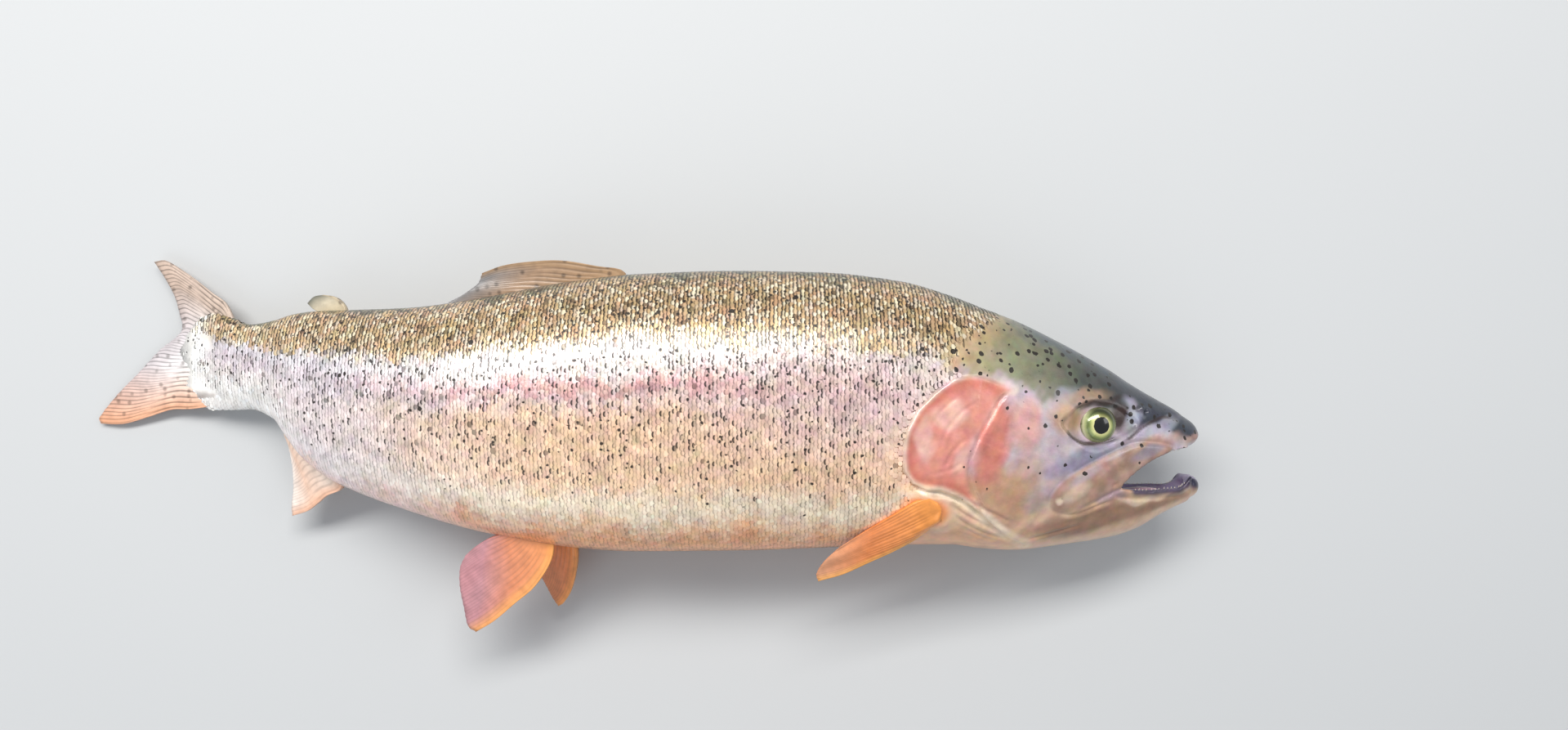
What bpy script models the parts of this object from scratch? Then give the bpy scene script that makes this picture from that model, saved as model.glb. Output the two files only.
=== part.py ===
"""A rainbow trout 0.60 m long, a male in spawning colours, lying on its left flank with its mouth open.

The fish is shaped straight first, in millimetres: "behind" is the distance behind the tip of the snout,
"height" runs from belly to back, and "side" from the left flank to the right one, from the middle plane
of the body. Thin cuts part it into its pieces, which are then laid on the floor: the middle plane sinks
toward the tail and the snout, and the flesh that would go under the floor is flattened against it.
In the scene +X is toward the head, +Y toward the back, and +Z up, out of the right flank.
"""

import math

import bmesh
import bpy
from mathutils import Matrix, Vector

MM = 0.001
GAP = 0.35  # between two pieces that touch, mm

AROUND = 24  # points round one ring of the body
RINGS = 43
FRONT = -1.4  # the chin stands a little ahead of the snout
END = 546.0
REACH = 150.0  # cutters run this far past the body

# One ring of the body at each station: behind, back, belly, height of the widest level, half width.
STATIONS = (
    (-1.4, -15.0, -45.0, -26.0, 4.0),
    (0.5, -9.8, -47.8, -25.0, 7.5),
    (3.0, -6.9, -48.8, -24.0, 10.2),
    (7.0, -4.2, -50.2, -23.0, 12.3),
    (13.0, 0.1, -52.7, -22.0, 14.6),
    (21.5, 4.8, -56.9, -21.0, 17.4),
    (30.0, 9.5, -61.8, -21.0, 20.0),
    (38.5, 14.6, -65.4, -21.0, 22.5),
    (47.0, 20.2, -67.7, -21.0, 24.8),
    (60.0, 27.6, -69.8, -20.0, 28.0),
    (73.0, 34.5, -71.4, -19.0, 31.0),
    (99.0, 47.0, -74.0, -16.0, 35.8),
    (116.0, 53.2, -73.0, -13.0, 38.5),
    (133.0, 59.7, -70.8, -10.0, 40.6),
    (159.0, 67.0, -70.9, -6.0, 42.8),
    (201.0, 71.6, -72.4, -2.0, 45.2),
    (244.0, 72.3, -73.8, 0.0, 46.5),
    (296.0, 70.6, -74.2, 0.0, 46.3),
    (331.0, 66.7, -72.0, 0.0, 44.6),
    (366.0, 60.5, -66.8, 0.0, 41.0),
    (393.0, 56.0, -61.0, 1.0, 37.0),
    (420.0, 53.4, -53.6, 3.0, 31.5),
    (453.0, 52.6, -43.0, 7.0, 25.5),
    (467.0, 52.4, -36.0, 10.0, 22.6),
    (479.0, 51.6, -27.0, 13.0, 20.2),
    (487.0, 50.2, -17.5, 16.0, 18.0),
    (496.0, 47.6, -6.8, 20.0, 15.6),
    (511.0, 45.4, -1.6, 22.0, 12.4),
    (524.0, 49.5, -2.0, 24.0, 9.6),
    (546.0, 59.0, -3.0, 28.0, 6.5),
)
ROUNDNESS = ((0.0, 2.2), (60.0, 2.4), (130.0, 2.3), (200.0, 2.15), (546.0, 2.2))

# Height of the middle plane over the floor, as the fish lies: behind, height.
LIE = (
    (-2.0, 35.5),
    (60.0, 39.0),
    (120.0, 42.6),
    (175.0, 44.3),
    (210.0, 44.5),
    (320.0, 44.5),
    (374.0, 41.5),
    (425.0, 34.5),
    (453.0, 29.0),
    (487.0, 22.0),
    (512.0, 16.5),
    (536.0, 11.0),
    (560.0, 6.5),
    (604.0, 2.2),
)

# Outlines on the side of the fish, as (behind, height) pairs.
UPPER_LIP = ((-9.0, -16.5), (1.7, -17.5), (6.5, -19.7), (13.0, -20.5), (21.5, -22.3), (30.0, -25.7), (38.5, -30.5))
LOWER_LIP = ((38.5, -41.2), (30.0, -41.6), (21.5, -41.2), (14.0, -40.6), (10.5, -38.4), (8.0, -35.8), (4.3, -34.5))
CHIN_FRONT = ((1.0, -35.6), (-0.8, -39.4), (-9.0, -41.0))
MOUTH_CORNER = (47.5, -39.0)
JAW_SEAM = ((56.0, -45.5), (77.0, -59.5), (99.0, -71.5), (112.0, -84.0))
GILL_EDGE = (
    (105.9, 11.0),
    (121.3, 17.5),
    (135.5, 16.7),
    (144.6, 10.2),
    (153.8, 1.3),
    (159.1, -8.9),
    (161.1, -19.0),
    (160.3, -29.2),
    (155.8, -35.3),
    (149.7, -37.7),
    (141.6, -38.6),
    (133.5, -41.9),
    (125.4, -47.2),
    (119.7, -52.4),
)
CHEEK_EDGE = (
    (121.5, -47.5),
    (126.2, -39.4),
    (128.2, -31.2),
    (127.4, -23.1),
    (123.3, -13.0),
    (117.2, -2.8),
    (112.4, 5.3),
)
MAXILLA = (
    (22.0, -21.0),
    (31.0, -17.5),
    (42.0, -17.5),
    (61.0, -25.0),
    (73.0, -31.0),
    (81.5, -37.5),
    (86.0, -45.0),
    (84.0, -50.5),
    (76.0, -52.0),
    (66.0, -48.5),
    (57.0, -43.5),
    (48.0, -41.0),
    (40.0, -36.0),
    (30.0, -30.0),
    (22.0, -26.5),
)
# Where the head ends and the trunk begins, under the gill cover, and where the tail stalk begins and ends.
HEAD_EDGE = (
    (98.0, 90.0),
    (99.0, 52.0),
    (114.0, 42.0),
    (127.0, 32.0),
    (131.5, 19.0),
    (134.0, 0.0),
    (134.0, -25.0),
    (127.0, -42.0),
    (116.0, -58.0),
    (108.0, -67.0),
    (104.0, -90.0),
)
STALK_START = ((436.0, 90.0), (440.0, 30.0), (440.0, -20.0), (430.0, -90.0))
STALK_END = ((520.0, 90.0), (527.0, 50.0), (535.5, 24.0), (541.5, -3.0), (548.0, -40.0))

COVER_THICK = 2.6
MAXILLA_THICK = 2.2

EYE_BEHIND = 57.4
EYE_HEIGHT = -7.2
EYE_SIDE = 19.0
EYE_RADIUS = 10.6
EYE_DEPTH = 8.0  # half of the eye's depth, from side to side
ORBIT_RADIUS = 9.9
ORBIT_RIM = 12.6
ORBIT_SIDE = 22.2

# Rounded forms in and about the mouth: centre as (behind, height, side), half sizes, turn in the side view.
PALATE = ((27.0, -27.5, 0.0), (24.0, 7.5, 11.0), math.radians(22.0))
JAW_SCOOP = ((31.0, -40.5, 0.0), (24.0, 9.5, 13.0), math.radians(2.0))
TONGUE = ((33.0, -45.0, 0.0), (15.0, 3.6, 6.0), math.radians(3.0))

HEAD_COLOUR = (0.30, 0.30, 0.20)
FLANK_COLOUR = (0.55, 0.46, 0.30)
STALK_COLOUR = (0.60, 0.52, 0.38)
JAW_COLOUR = (0.62, 0.42, 0.30)
COVER_COLOUR = (0.62, 0.22, 0.16)
MAXILLA_COLOUR = (0.66, 0.40, 0.26)
IRIS_COLOUR = (0.30, 0.38, 0.10)
TONGUE_COLOUR = (0.55, 0.40, 0.45)
SKIN_ROUGHNESS = 0.35
FIN_ROUGHNESS = 0.4
EYE_ROUGHNESS = 0.08

# Each fin is a fan between its base and its margin; both run from the leading edge to the trailing one.
# Their points are (behind, height, side); thickness is at the base and at the margin.
FINS = {
    "dorsal_fin": {
        "base": ((300.0, 63.0, 0.0), (330.0, 60.0, 0.0), (360.0, 54.5, 0.0)),
        "margin": (
            (303.0, 72.2, 0.0),
            (316.0, 74.6, 0.5),
            (335.0, 77.6, 1.0),
            (351.0, 77.2, 1.5),
            (366.0, 75.2, 2.0),
            (377.5, 71.2, 2.0),
            (380.0, 65.8, 2.0),
            (387.0, 60.6, 2.0),
            (396.0, 56.0, 2.0),
            (388.0, 50.0, 1.0),
        ),
        "thick": (3.4, 0.8),
        "colour": (0.40, 0.33, 0.22),
    },
    "adipose_fin": {
        "base": ((454.0, 48.0, 0.0), (466.0, 48.0, 0.0)),
        "margin": (
            (454.0, 52.4, 0.0),
            (457.5, 57.7, 0.5),
            (464.5, 60.6, 1.0),
            (472.6, 59.9, 1.0),
            (476.6, 56.4, 1.0),
            (473.0, 53.2, 0.5),
            (467.0, 51.0, 0.0),
        ),
        "thick": (3.6, 1.6),
        "colour": (0.42, 0.38, 0.26),
    },
    "anal_fin": {
        "base": ((456.0, -36.0, 0.0), (470.0, -29.0, 0.0), (487.0, -12.0, 0.0)),
        "margin": (
            (457.0, -43.5, -0.5),
            (466.0, -47.6, -1.5),
            (472.0, -52.0, -3.0),
            (479.0, -56.6, -4.5),
            (489.0, -59.8, -6.0),
            (489.5, -54.0, -5.5),
            (488.0, -45.0, -4.5),
            (487.5, -34.0, -3.0),
            (489.5, -22.0, -1.5),
            (492.0, -11.0, 0.0),
        ),
        "thick": (3.4, 0.8),
        "colour": (0.75, 0.42, 0.30),
    },
    "pelvic_fin_right": {
        "base": ((337.0, -65.0, 9.6), (347.0, -63.3, 10.0), (357.0, -61.6, 10.4)),
        "margin": (
            (339.0, -77.5, 9.0),
            (348.0, -91.6, 7.0),
            (359.0, -101.0, 4.5),
            (371.0, -111.2, 1.0),
            (385.5, -119.8, -3.0),
            (389.5, -117.0, -3.0),
            (390.5, -104.0, -1.0),
            (392.0, -88.0, 2.0),
            (390.0, -78.8, 4.5),
            (382.0, -73.2, 7.0),
            (371.0, -65.4, 10.2),
        ),
        "thick": (4.2, 0.8),
        "colour": (0.88, 0.46, 0.24),
    },
    "pelvic_fin_left": {
        "base": ((330.0, -66.5, -9.5), (341.0, -65.0, -11.0), (352.0, -63.0, -12.5)),
        "margin": (
            (329.5, -79.0, -13.0),
            (331.5, -90.0, -18.0),
            (335.0, -100.0, -23.0),
            (340.0, -107.5, -27.0),
            (345.5, -110.8, -30.0),
            (354.0, -106.0, -31.0),
            (363.0, -97.0, -31.0),
            (368.0, -86.0, -29.0),
            (367.0, -76.0, -25.0),
            (360.0, -69.0, -19.0),
        ),
        "thick": (4.2, 0.8),
        "colour": (0.88, 0.46, 0.24),
    },
    "pectoral_fin_right": {
        "base": ((140.5, -52.0, 24.5), (144.0, -47.5, 27.5), (147.0, -43.0, 29.5)),
        "margin": (
            (142.5, -58.5, 29.5),
            (150.0, -66.5, 27.0),
            (162.0, -73.2, 23.5),
            (176.0, -78.6, 19.5),
            (190.0, -84.6, 15.0),
            (201.5, -88.0, 11.5),
            (202.5, -84.0, 13.5),
            (198.5, -76.5, 18.0),
            (191.0, -69.0, 22.5),
            (177.0, -59.6, 28.5),
            (160.0, -49.8, 34.0),
            (150.0, -43.8, 36.0),
        ),
        "thick": (4.6, 0.8),
        "colour": (0.90, 0.50, 0.22),
    },
    "pectoral_fin_left": {
        "base": ((141.0, -52.0, -25.5), (144.5, -47.5, -28.5), (148.0, -43.0, -30.5)),
        "margin": (
            (144.5, -57.5, -31.0),
            (154.0, -61.0, -33.0),
            (168.0, -63.5, -35.0),
            (183.0, -65.0, -36.5),
            (198.0, -65.5, -38.0),
            (207.0, -63.0, -39.0),
            (207.0, -59.0, -39.5),
            (199.0, -53.5, -39.8),
            (186.0, -48.5, -40.2),
            (170.0, -44.0, -40.4),
            (154.0, -40.5, -39.6),
        ),
        "thick": (4.6, 0.8),
        "colour": (0.90, 0.50, 0.22),
    },
    "caudal_fin": {
        "base": ((533.0, 0.5, 0.0), (529.0, 24.0, 0.0), (521.0, 46.0, 0.0)),
        "margin": (
            (548.0, -1.4, 0.0),
            (560.0, -1.8, 0.0),
            (574.0, -6.0, 0.0),
            (589.0, -10.0, 0.0),
            (602.0, -9.8, 0.0),
            (603.4, -7.0, 0.0),
            (594.0, 5.0, 0.0),
            (582.0, 16.5, 0.0),
            (568.0, 31.0, 0.0),
            (557.0, 39.0, 0.0),
            (554.0, 43.5, 0.0),
            (556.0, 52.0, 0.0),
            (559.0, 62.0, 0.0),
            (564.0, 71.0, 0.0),
            (571.0, 80.6, 0.0),
            (564.5, 81.4, 0.0),
            (556.0, 77.0, 0.0),
            (546.0, 70.6, 0.0),
            (535.0, 62.6, 0.0),
            (527.0, 57.0, 0.0),
        ),
        "thick": (8.0, 0.8),
        "colour": (0.62, 0.55, 0.45),
    },
}
FAN_ACROSS = 2  # cells between a fin's base and its margin
FAN_ALONG = 2  # cells for each point of its margin


def smooth_value(table, where, column=1):
    """The column's value at a distance behind the snout: a cubic through the rows that never overshoots them."""
    rows = list(table)
    where = min(max(where, rows[0][0]), rows[-1][0])
    spans = [b[0] - a[0] for a, b in zip(rows, rows[1:])]
    rises = [(b[column] - a[column]) / span for a, b, span in zip(rows, rows[1:], spans)]

    def slope(row):
        before, after = rises[max(row - 1, 0)], rises[min(row, len(rises) - 1)]
        return 0.0 if before * after <= 0.0 else 2.0 * before * after / (before + after)

    row = max(i for i in range(len(spans)) if rows[i][0] <= where)
    span = spans[row]
    t = (where - rows[row][0]) / span
    start, end = rows[row][column], rows[row + 1][column]
    return (
        start * (1.0 + 2.0 * t) * (1.0 - t) ** 2
        + end * t * t * (3.0 - 2.0 * t)
        + span * t * (1.0 - t) * ((1.0 - t) * slope(row) - t * slope(row + 1))
    )


def smooth_point(points, t):
    """The point at t, from 0 to 1, on a smooth curve through the points, with no loops where they lie close."""
    place = min(max(t, 0.0), 1.0) * (len(points) - 1)
    i = min(int(place), len(points) - 2)
    f = place - i
    before, start, end, after = [Vector(points[min(max(i + k, 0), len(points) - 1)]) for k in (-1, 0, 1, 2)]
    span = (end - start).length
    leaving = (end - before) * (span / ((end - start).length + (start - before).length))
    arriving = (after - start) * (span / ((after - end).length + (end - start).length))
    return (
        start * (1.0 + 2.0 * f) * (1.0 - f) ** 2
        + end * f * f * (3.0 - 2.0 * f)
        + f * (1.0 - f) * ((1.0 - f) * leaving - f * arriving)
    )


def smooth_line(points, cells=2):
    count = cells * (len(points) - 1)
    return [smooth_point(points, i / count) for i in range(count + 1)]


def at(behind, height, side=0.0):
    """The place in metres, with the fish still straight."""
    return Vector((-behind, height, side)) * MM


def ring_point(behind, angle, grow):
    """A point of the body's surface: angle 0 is the back, a quarter turn the right flank."""
    back, belly, wide, half = (smooth_value(STATIONS, behind, column) for column in (1, 2, 3, 4))
    power = 2.0 / smooth_value(ROUNDNESS, behind)
    up, out = math.cos(angle), math.sin(angle)
    tall = (back - wide if up > 0.0 else wide - belly) + grow
    height = wide + tall * math.copysign(abs(up) ** power, up)
    side = (half + grow) * math.copysign(abs(out) ** power, out)
    return at(behind, height, side)


def new_object(name, shape, collection):
    mesh = bpy.data.meshes.new(name)
    bmesh.ops.recalc_face_normals(shape, faces=shape.faces)
    shape.to_mesh(mesh)
    shape.free()
    obj = bpy.data.objects.new(name, mesh)
    collection.objects.link(obj)
    return obj


def body(name, collection, grow=0.0):
    """The whole body from chin to tail, a tube whose rings follow the stations, larger all round by grow."""
    shape = bmesh.new()
    bmesh.ops.create_cone(shape, cap_ends=True, segments=AROUND, radius1=1.0, radius2=1.0, depth=1.0)
    long_edges = [edge for edge in shape.edges if abs(edge.verts[0].co.z - edge.verts[1].co.z) > 0.5]
    bmesh.ops.subdivide_edges(shape, edges=long_edges, cuts=RINGS - 2, use_grid_fill=True)
    for vert in shape.verts:
        along = vert.co.z + 0.5
        behind = FRONT + (END - FRONT) * (0.18 * along + 0.82 * along * along)
        angle = math.atan2(vert.co.x, vert.co.y)
        vert.co = ring_point(behind, angle, grow)
        if along < 1e-6:
            vert.co.x += grow * MM
    bmesh.ops.triangulate(shape, faces=shape.faces)
    return new_object(name, shape, collection)


def prism(name, outline, collection, low=-REACH, high=REACH):
    """A block with this outline seen from the side, from one side height to another."""
    curve = bpy.data.curves.new(name, "CURVE")
    curve.dimensions = "2D"
    curve.fill_mode = "BOTH"
    curve.extrude = 0.5 * (high - low) * MM
    spline = curve.splines.new("POLY")
    spline.points.add(len(outline) - 1)
    for point, place in zip(spline.points, outline):
        point.co = (*(at(*place[:2]).xy), 0.0, 1.0)
    spline.use_cyclic_u = True
    guide = bpy.data.objects.new(name, curve)
    guide.location.z = 0.5 * (high + low) * MM
    collection.objects.link(guide)
    graph = bpy.context.evaluated_depsgraph_get()
    mesh = bpy.data.meshes.new_from_object(guide.evaluated_get(graph))
    mesh.transform(guide.matrix_world)
    bpy.data.objects.remove(guide)
    shape = bmesh.new()
    shape.from_mesh(mesh)
    bmesh.ops.remove_doubles(shape, verts=shape.verts, dist=1e-6)
    bmesh.ops.triangulate(shape, faces=shape.faces)
    bpy.data.meshes.remove(mesh)
    return new_object(name, shape, collection)


def grown(outline, gap):
    """The closed outline, moved out by gap all round, its sharp corners kept sharp."""
    points = [Vector(point[:2]) for point in outline]
    area = sum(a.x * b.y - b.x * a.y for a, b in zip(points, points[1:] + points[:1]))
    turn = math.copysign(1.0, area)

    def outward(start, end):
        along = (end - start).normalized()
        return turn * Vector((along.y, -along.x))

    moved = []
    for i, point in enumerate(points):
        before, after = outward(points[i - 1], point), outward(point, points[(i + 1) % len(points)])
        moved.append(point + gap * (before + after) / max(1.0 + before.dot(after), 0.25))
    return moved


def ellipsoid(name, centre, radii, collection, turn=0.0, cells=(16, 8)):
    shape = bmesh.new()
    bmesh.ops.create_uvsphere(shape, u_segments=cells[0], v_segments=cells[1], radius=1.0)
    size = Matrix.Diagonal((radii[0] * MM, radii[1] * MM, radii[2] * MM, 1.0))
    place = Matrix.Translation(at(*centre)) @ Matrix.Rotation(turn, 4, "Z") @ size
    bmesh.ops.transform(shape, matrix=place, verts=shape.verts)
    return new_object(name, shape, collection)


def orbit_cone(name, sign, collection):
    """The shallow funnel that the eye looks out of."""
    depth = 12.0
    shape = bmesh.new()
    wide = ORBIT_RADIUS + (ORBIT_RIM - ORBIT_RADIUS) * depth / 5.0
    bmesh.ops.create_cone(
        shape, cap_ends=True, segments=20, radius1=ORBIT_RADIUS * MM, radius2=wide * MM, depth=depth * MM
    )
    place = Matrix.Translation(at(EYE_BEHIND, EYE_HEIGHT, sign * (ORBIT_SIDE + 0.5 * depth)))
    if sign < 0:
        place = place @ Matrix.Rotation(math.pi, 4, "X")
    bmesh.ops.transform(shape, matrix=place, verts=shape.verts)
    return new_object(name, shape, collection)


def boolean(obj, other, operation):
    modifier = obj.modifiers.new(f"{operation.lower()} {other.name}", "BOOLEAN")
    modifier.solver = "EXACT"
    modifier.operation = operation
    modifier.object = other


def fan(name, spec, collection):
    """A fin: an open fan between two curves, solid by Solidify, thick at the base and thin at the margin."""
    margin = smooth_line(spec["margin"], FAN_ALONG)
    shape = bmesh.new()
    columns = len(margin)
    bmesh.ops.create_grid(shape, x_segments=columns - 1, y_segments=FAN_ACROSS, size=0.5)
    weights = {}
    for vert in shape.verts:
        along, out = vert.co.x + 0.5, vert.co.y + 0.5
        root = smooth_point(spec["base"], along)
        rim = margin[round(along * (columns - 1))]
        vert.co = at(*root.lerp(rim, out))
        weights[vert.index] = out
    order = [weights[vert.index] for vert in shape.verts]
    mesh = bpy.data.meshes.new(name)
    shape.to_mesh(mesh)
    shape.free()
    fin = bpy.data.objects.new(name, mesh)
    collection.objects.link(fin)
    base_thick, margin_thick = spec["thick"]
    group = fin.vertex_groups.new(name="thickness")
    for index, out in enumerate(order):
        share = (1.0 - out) ** 1.6
        group.add([index], margin_thick / base_thick + (1.0 - margin_thick / base_thick) * share, "REPLACE")
    solid = fin.modifiers.new("thickness", "SOLIDIFY")
    solid.thickness = base_thick * MM
    solid.offset = 0.0
    solid.vertex_group = group.name
    return fin


def coloured(obj, name, colour, roughness):
    material = bpy.data.materials.get(name) or bpy.data.materials.new(name)
    material.use_nodes = True
    shader = material.node_tree.nodes["Principled BSDF"]
    shader.inputs["Base Color"].default_value = (*colour, 1.0)
    shader.inputs["Roughness"].default_value = roughness
    shader.inputs["Metallic"].default_value = 0.0
    material.diffuse_color = (*colour, 1.0)
    obj.data.materials.clear()
    obj.data.materials.append(material)


def mouth_outline():
    """What is open or lower jaw, under the edge of the upper lip and the seam of the jaw."""
    return [*UPPER_LIP, MOUTH_CORNER, *JAW_SEAM, (JAW_SEAM[-1][0], -REACH), (UPPER_LIP[0][0], -REACH)]


def jaw_outline():
    """The lower jaw and the skin behind it, up to the lower lip and the seam."""
    seam = [(behind, height - GAP) for behind, height in (MOUTH_CORNER, *JAW_SEAM)]
    return [(JAW_SEAM[-1][0], -REACH), *reversed(seam), *LOWER_LIP, *CHIN_FRONT, (CHIN_FRONT[-1][0], -REACH)]


def moved_back(outline):
    """The outline, a gap further behind the snout."""
    return [(point[0] + GAP, point[1]) for point in outline]


def build_straight(parts, helpers):
    """Every piece of the straight fish, its cuts still modifiers."""
    skinned = body("body_and_gap", helpers, GAP)
    under_cover = body("under_cover", helpers, -COVER_THICK)
    slot_floor = body("slot_floor", helpers, -COVER_THICK - GAP)
    under_maxilla = body("under_maxilla", helpers, -MAXILLA_THICK)
    maxilla_floor = body("maxilla_floor", helpers, -MAXILLA_THICK - GAP)

    stalk_start = [tuple(point) for point in smooth_line(STALK_START)]
    stalk_end = [tuple(point) for point in smooth_line(STALK_END)]
    mouth = prism("mouth_space", mouth_outline(), helpers)
    jaw_block = prism("jaw_block", jaw_outline(), helpers)
    front_block = prism("front_block", [*HEAD_EDGE, (-40.0, -REACH), (-40.0, REACH)], helpers)
    trunk_block = prism("trunk_block", moved_back(HEAD_EDGE) + stalk_start[::-1], helpers)
    stalk_block = prism("stalk_block", moved_back(stalk_start) + stalk_end[::-1], helpers)
    tail_block = prism("tail_block", moved_back(stalk_end) + [(700.0, -REACH), (700.0, REACH)], helpers)

    def piece(name, colour):
        obj = body(name, parts)
        coloured(obj, f"{name}_material", colour, SKIN_ROUGHNESS)
        return obj

    head = piece("head", HEAD_COLOUR)
    trunk = piece("trunk", FLANK_COLOUR)
    stalk = piece("tail_stalk", STALK_COLOUR)
    jaw = piece("lower_jaw", JAW_COLOUR)
    boolean(head, front_block, "INTERSECT")
    boolean(head, mouth, "DIFFERENCE")
    boolean(trunk, trunk_block, "INTERSECT")
    boolean(stalk, stalk_block, "INTERSECT")
    boolean(jaw, jaw_block, "INTERSECT")

    cover_outline = GILL_EDGE + CHEEK_EDGE
    for label, sign in (("right", 1), ("left", -1)):
        reach = (1.0, REACH) if sign > 0 else (-REACH, -1.0)
        cover = piece(f"gill_cover_{label}", COVER_COLOUR)
        boolean(cover, prism(f"cover_{label}", cover_outline, helpers, *reach), "INTERSECT")
        boolean(cover, under_cover, "DIFFERENCE")
        cover_slot = prism(f"cover_slot_{label}", grown(cover_outline, GAP), helpers, *reach)
        boolean(cover_slot, slot_floor, "DIFFERENCE")
        boolean(head, cover_slot, "DIFFERENCE")
        boolean(trunk, cover_slot, "DIFFERENCE")

        maxilla = piece(f"maxilla_{label}", MAXILLA_COLOUR)
        boolean(maxilla, prism(f"bone_{label}", MAXILLA, helpers, *reach), "INTERSECT")
        boolean(maxilla, mouth, "DIFFERENCE")
        boolean(maxilla, under_maxilla, "DIFFERENCE")
        bone_slot = prism(f"bone_slot_{label}", grown(MAXILLA, GAP), helpers, *reach)
        boolean(bone_slot, maxilla_floor, "DIFFERENCE")
        boolean(head, bone_slot, "DIFFERENCE")

        centre = (EYE_BEHIND, EYE_HEIGHT, sign * EYE_SIDE)
        eye = ellipsoid(f"eye_{label}", centre, (EYE_RADIUS, EYE_RADIUS, EYE_DEPTH), parts, cells=(18, 9))
        coloured(eye, "eye_material", IRIS_COLOUR, EYE_ROUGHNESS)
        wide = (EYE_RADIUS + GAP, EYE_RADIUS + GAP, EYE_DEPTH + GAP)
        boolean(head, ellipsoid(f"socket_{label}", centre, wide, helpers, cells=(18, 9)), "DIFFERENCE")
        boolean(head, orbit_cone(f"orbit_{label}", sign, helpers), "DIFFERENCE")

    boolean(head, ellipsoid("palate", *PALATE[:2], helpers, PALATE[2]), "DIFFERENCE")
    boolean(jaw, ellipsoid("scoop", *JAW_SCOOP[:2], helpers, JAW_SCOOP[2]), "DIFFERENCE")
    tongue = ellipsoid("tongue", *TONGUE[:2], parts, TONGUE[2], (12, 6))
    coloured(tongue, "tongue_material", TONGUE_COLOUR, SKIN_ROUGHNESS)

    for name, spec in FINS.items():
        fin = fan(name, spec, parts)
        coloured(fin, f"{name}_material", spec["colour"], FIN_ROUGHNESS)
        if name == "caudal_fin":
            boolean(fin, tail_block, "INTERSECT")
        else:
            boolean(fin, skinned, "DIFFERENCE")


def lay_down(parts):
    """Gives each piece its cut shape, sinks it by its place along the body, and rests the flank on the floor."""
    graph = bpy.context.evaluated_depsgraph_get()
    settled = {}
    for obj in parts.objects:
        mesh = bpy.data.meshes.new_from_object(obj.evaluated_get(graph))
        shape = bmesh.new()
        shape.from_mesh(mesh)
        bmesh.ops.dissolve_degenerate(shape, edges=shape.edges, dist=2e-5)
        bmesh.ops.triangulate(shape, faces=shape.faces)
        for vert in shape.verts:
            lift = smooth_value(LIE, -vert.co.x / MM) * MM
            vert.co.z = max(vert.co.z + lift, 0.0)
        shape.to_mesh(mesh)
        shape.free()
        settled[obj] = mesh
    for obj, mesh in settled.items():
        old = obj.data
        obj.modifiers.clear()
        obj.data = mesh
        bpy.data.meshes.remove(old)
        mesh.name = obj.name


def centre_on_origin(parts):
    """Moves the fish so that the middle of its box stands over the origin."""
    corners = [vert.co for obj in parts.objects for vert in obj.data.vertices]
    low = Vector([min(corner[axis] for corner in corners) for axis in range(3)])
    high = Vector([max(corner[axis] for corner in corners) for axis in range(3)])
    shift = Vector((-0.5 * (low.x + high.x), -0.5 * (low.y + high.y), -low.z))
    for obj in parts.objects:
        obj.data.transform(Matrix.Translation(shift))


def new_collection(name):
    collection = bpy.data.collections.new(name)
    bpy.context.scene.collection.children.link(collection)
    return collection


def main():
    for obj in list(bpy.data.objects):
        bpy.data.objects.remove(obj, do_unlink=True)
    parts = new_collection("rainbow_trout")
    helpers = new_collection("cutters")
    build_straight(parts, helpers)
    bpy.context.view_layer.update()
    lay_down(parts)
    for obj in list(helpers.objects):
        bpy.data.objects.remove(obj, do_unlink=True)
    bpy.data.collections.remove(helpers)
    centre_on_origin(parts)


main()
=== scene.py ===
"""Looks of a rainbow trout lying on its left flank: skin, scales, fins with rays, eyes, mouth and teeth.

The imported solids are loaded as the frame, and every piece here takes its place from them. The form of the
body is worked out straight first, in millimetres: "behind" is the distance behind the tip of the snout,
"height" runs from belly to back and "side" from the left flank to the right one. laid_down() then gives
each point its place in the frame, where the fish lies with its middle plane sinking toward tail and snout.
"""

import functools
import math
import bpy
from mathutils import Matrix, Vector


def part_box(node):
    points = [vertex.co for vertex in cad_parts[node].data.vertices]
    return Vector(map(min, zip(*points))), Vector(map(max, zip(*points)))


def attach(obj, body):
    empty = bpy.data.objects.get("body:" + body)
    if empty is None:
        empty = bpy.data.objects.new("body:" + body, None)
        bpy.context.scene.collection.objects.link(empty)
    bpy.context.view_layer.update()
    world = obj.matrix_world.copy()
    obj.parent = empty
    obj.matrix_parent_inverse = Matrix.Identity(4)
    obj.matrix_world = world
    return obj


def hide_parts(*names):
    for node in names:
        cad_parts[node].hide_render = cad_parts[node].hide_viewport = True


bl_info = {
    "name": "Rainbow Trout",
    "version": (1, 0, 0),
    "blender": (4, 5, 0),
    "location": "3D View > Sidebar > Trout",
    "description": "Skin, scales, fins, eyes and mouth of a life-size rainbow trout lying on its flank",
    "category": "Add Mesh",
}

import bmesh
import bpy
import numpy as np
from bpy.props import FloatProperty, FloatVectorProperty, IntProperty, PointerProperty
from mathutils import Matrix, Vector

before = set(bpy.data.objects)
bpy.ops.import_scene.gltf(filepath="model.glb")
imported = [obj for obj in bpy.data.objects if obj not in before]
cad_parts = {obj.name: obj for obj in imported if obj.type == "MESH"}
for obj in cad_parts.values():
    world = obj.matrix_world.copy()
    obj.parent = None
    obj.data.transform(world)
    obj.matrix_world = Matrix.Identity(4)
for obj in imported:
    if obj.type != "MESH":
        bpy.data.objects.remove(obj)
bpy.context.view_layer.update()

MM = 0.001
STRAIGHT = np.array((-MM, MM, MM))  # from straight millimetres to metres with the snout toward +X
RIGHT, LEFT = 1.0, -1.0

# -------- The form of the body, as the solids have it -------------

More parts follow.
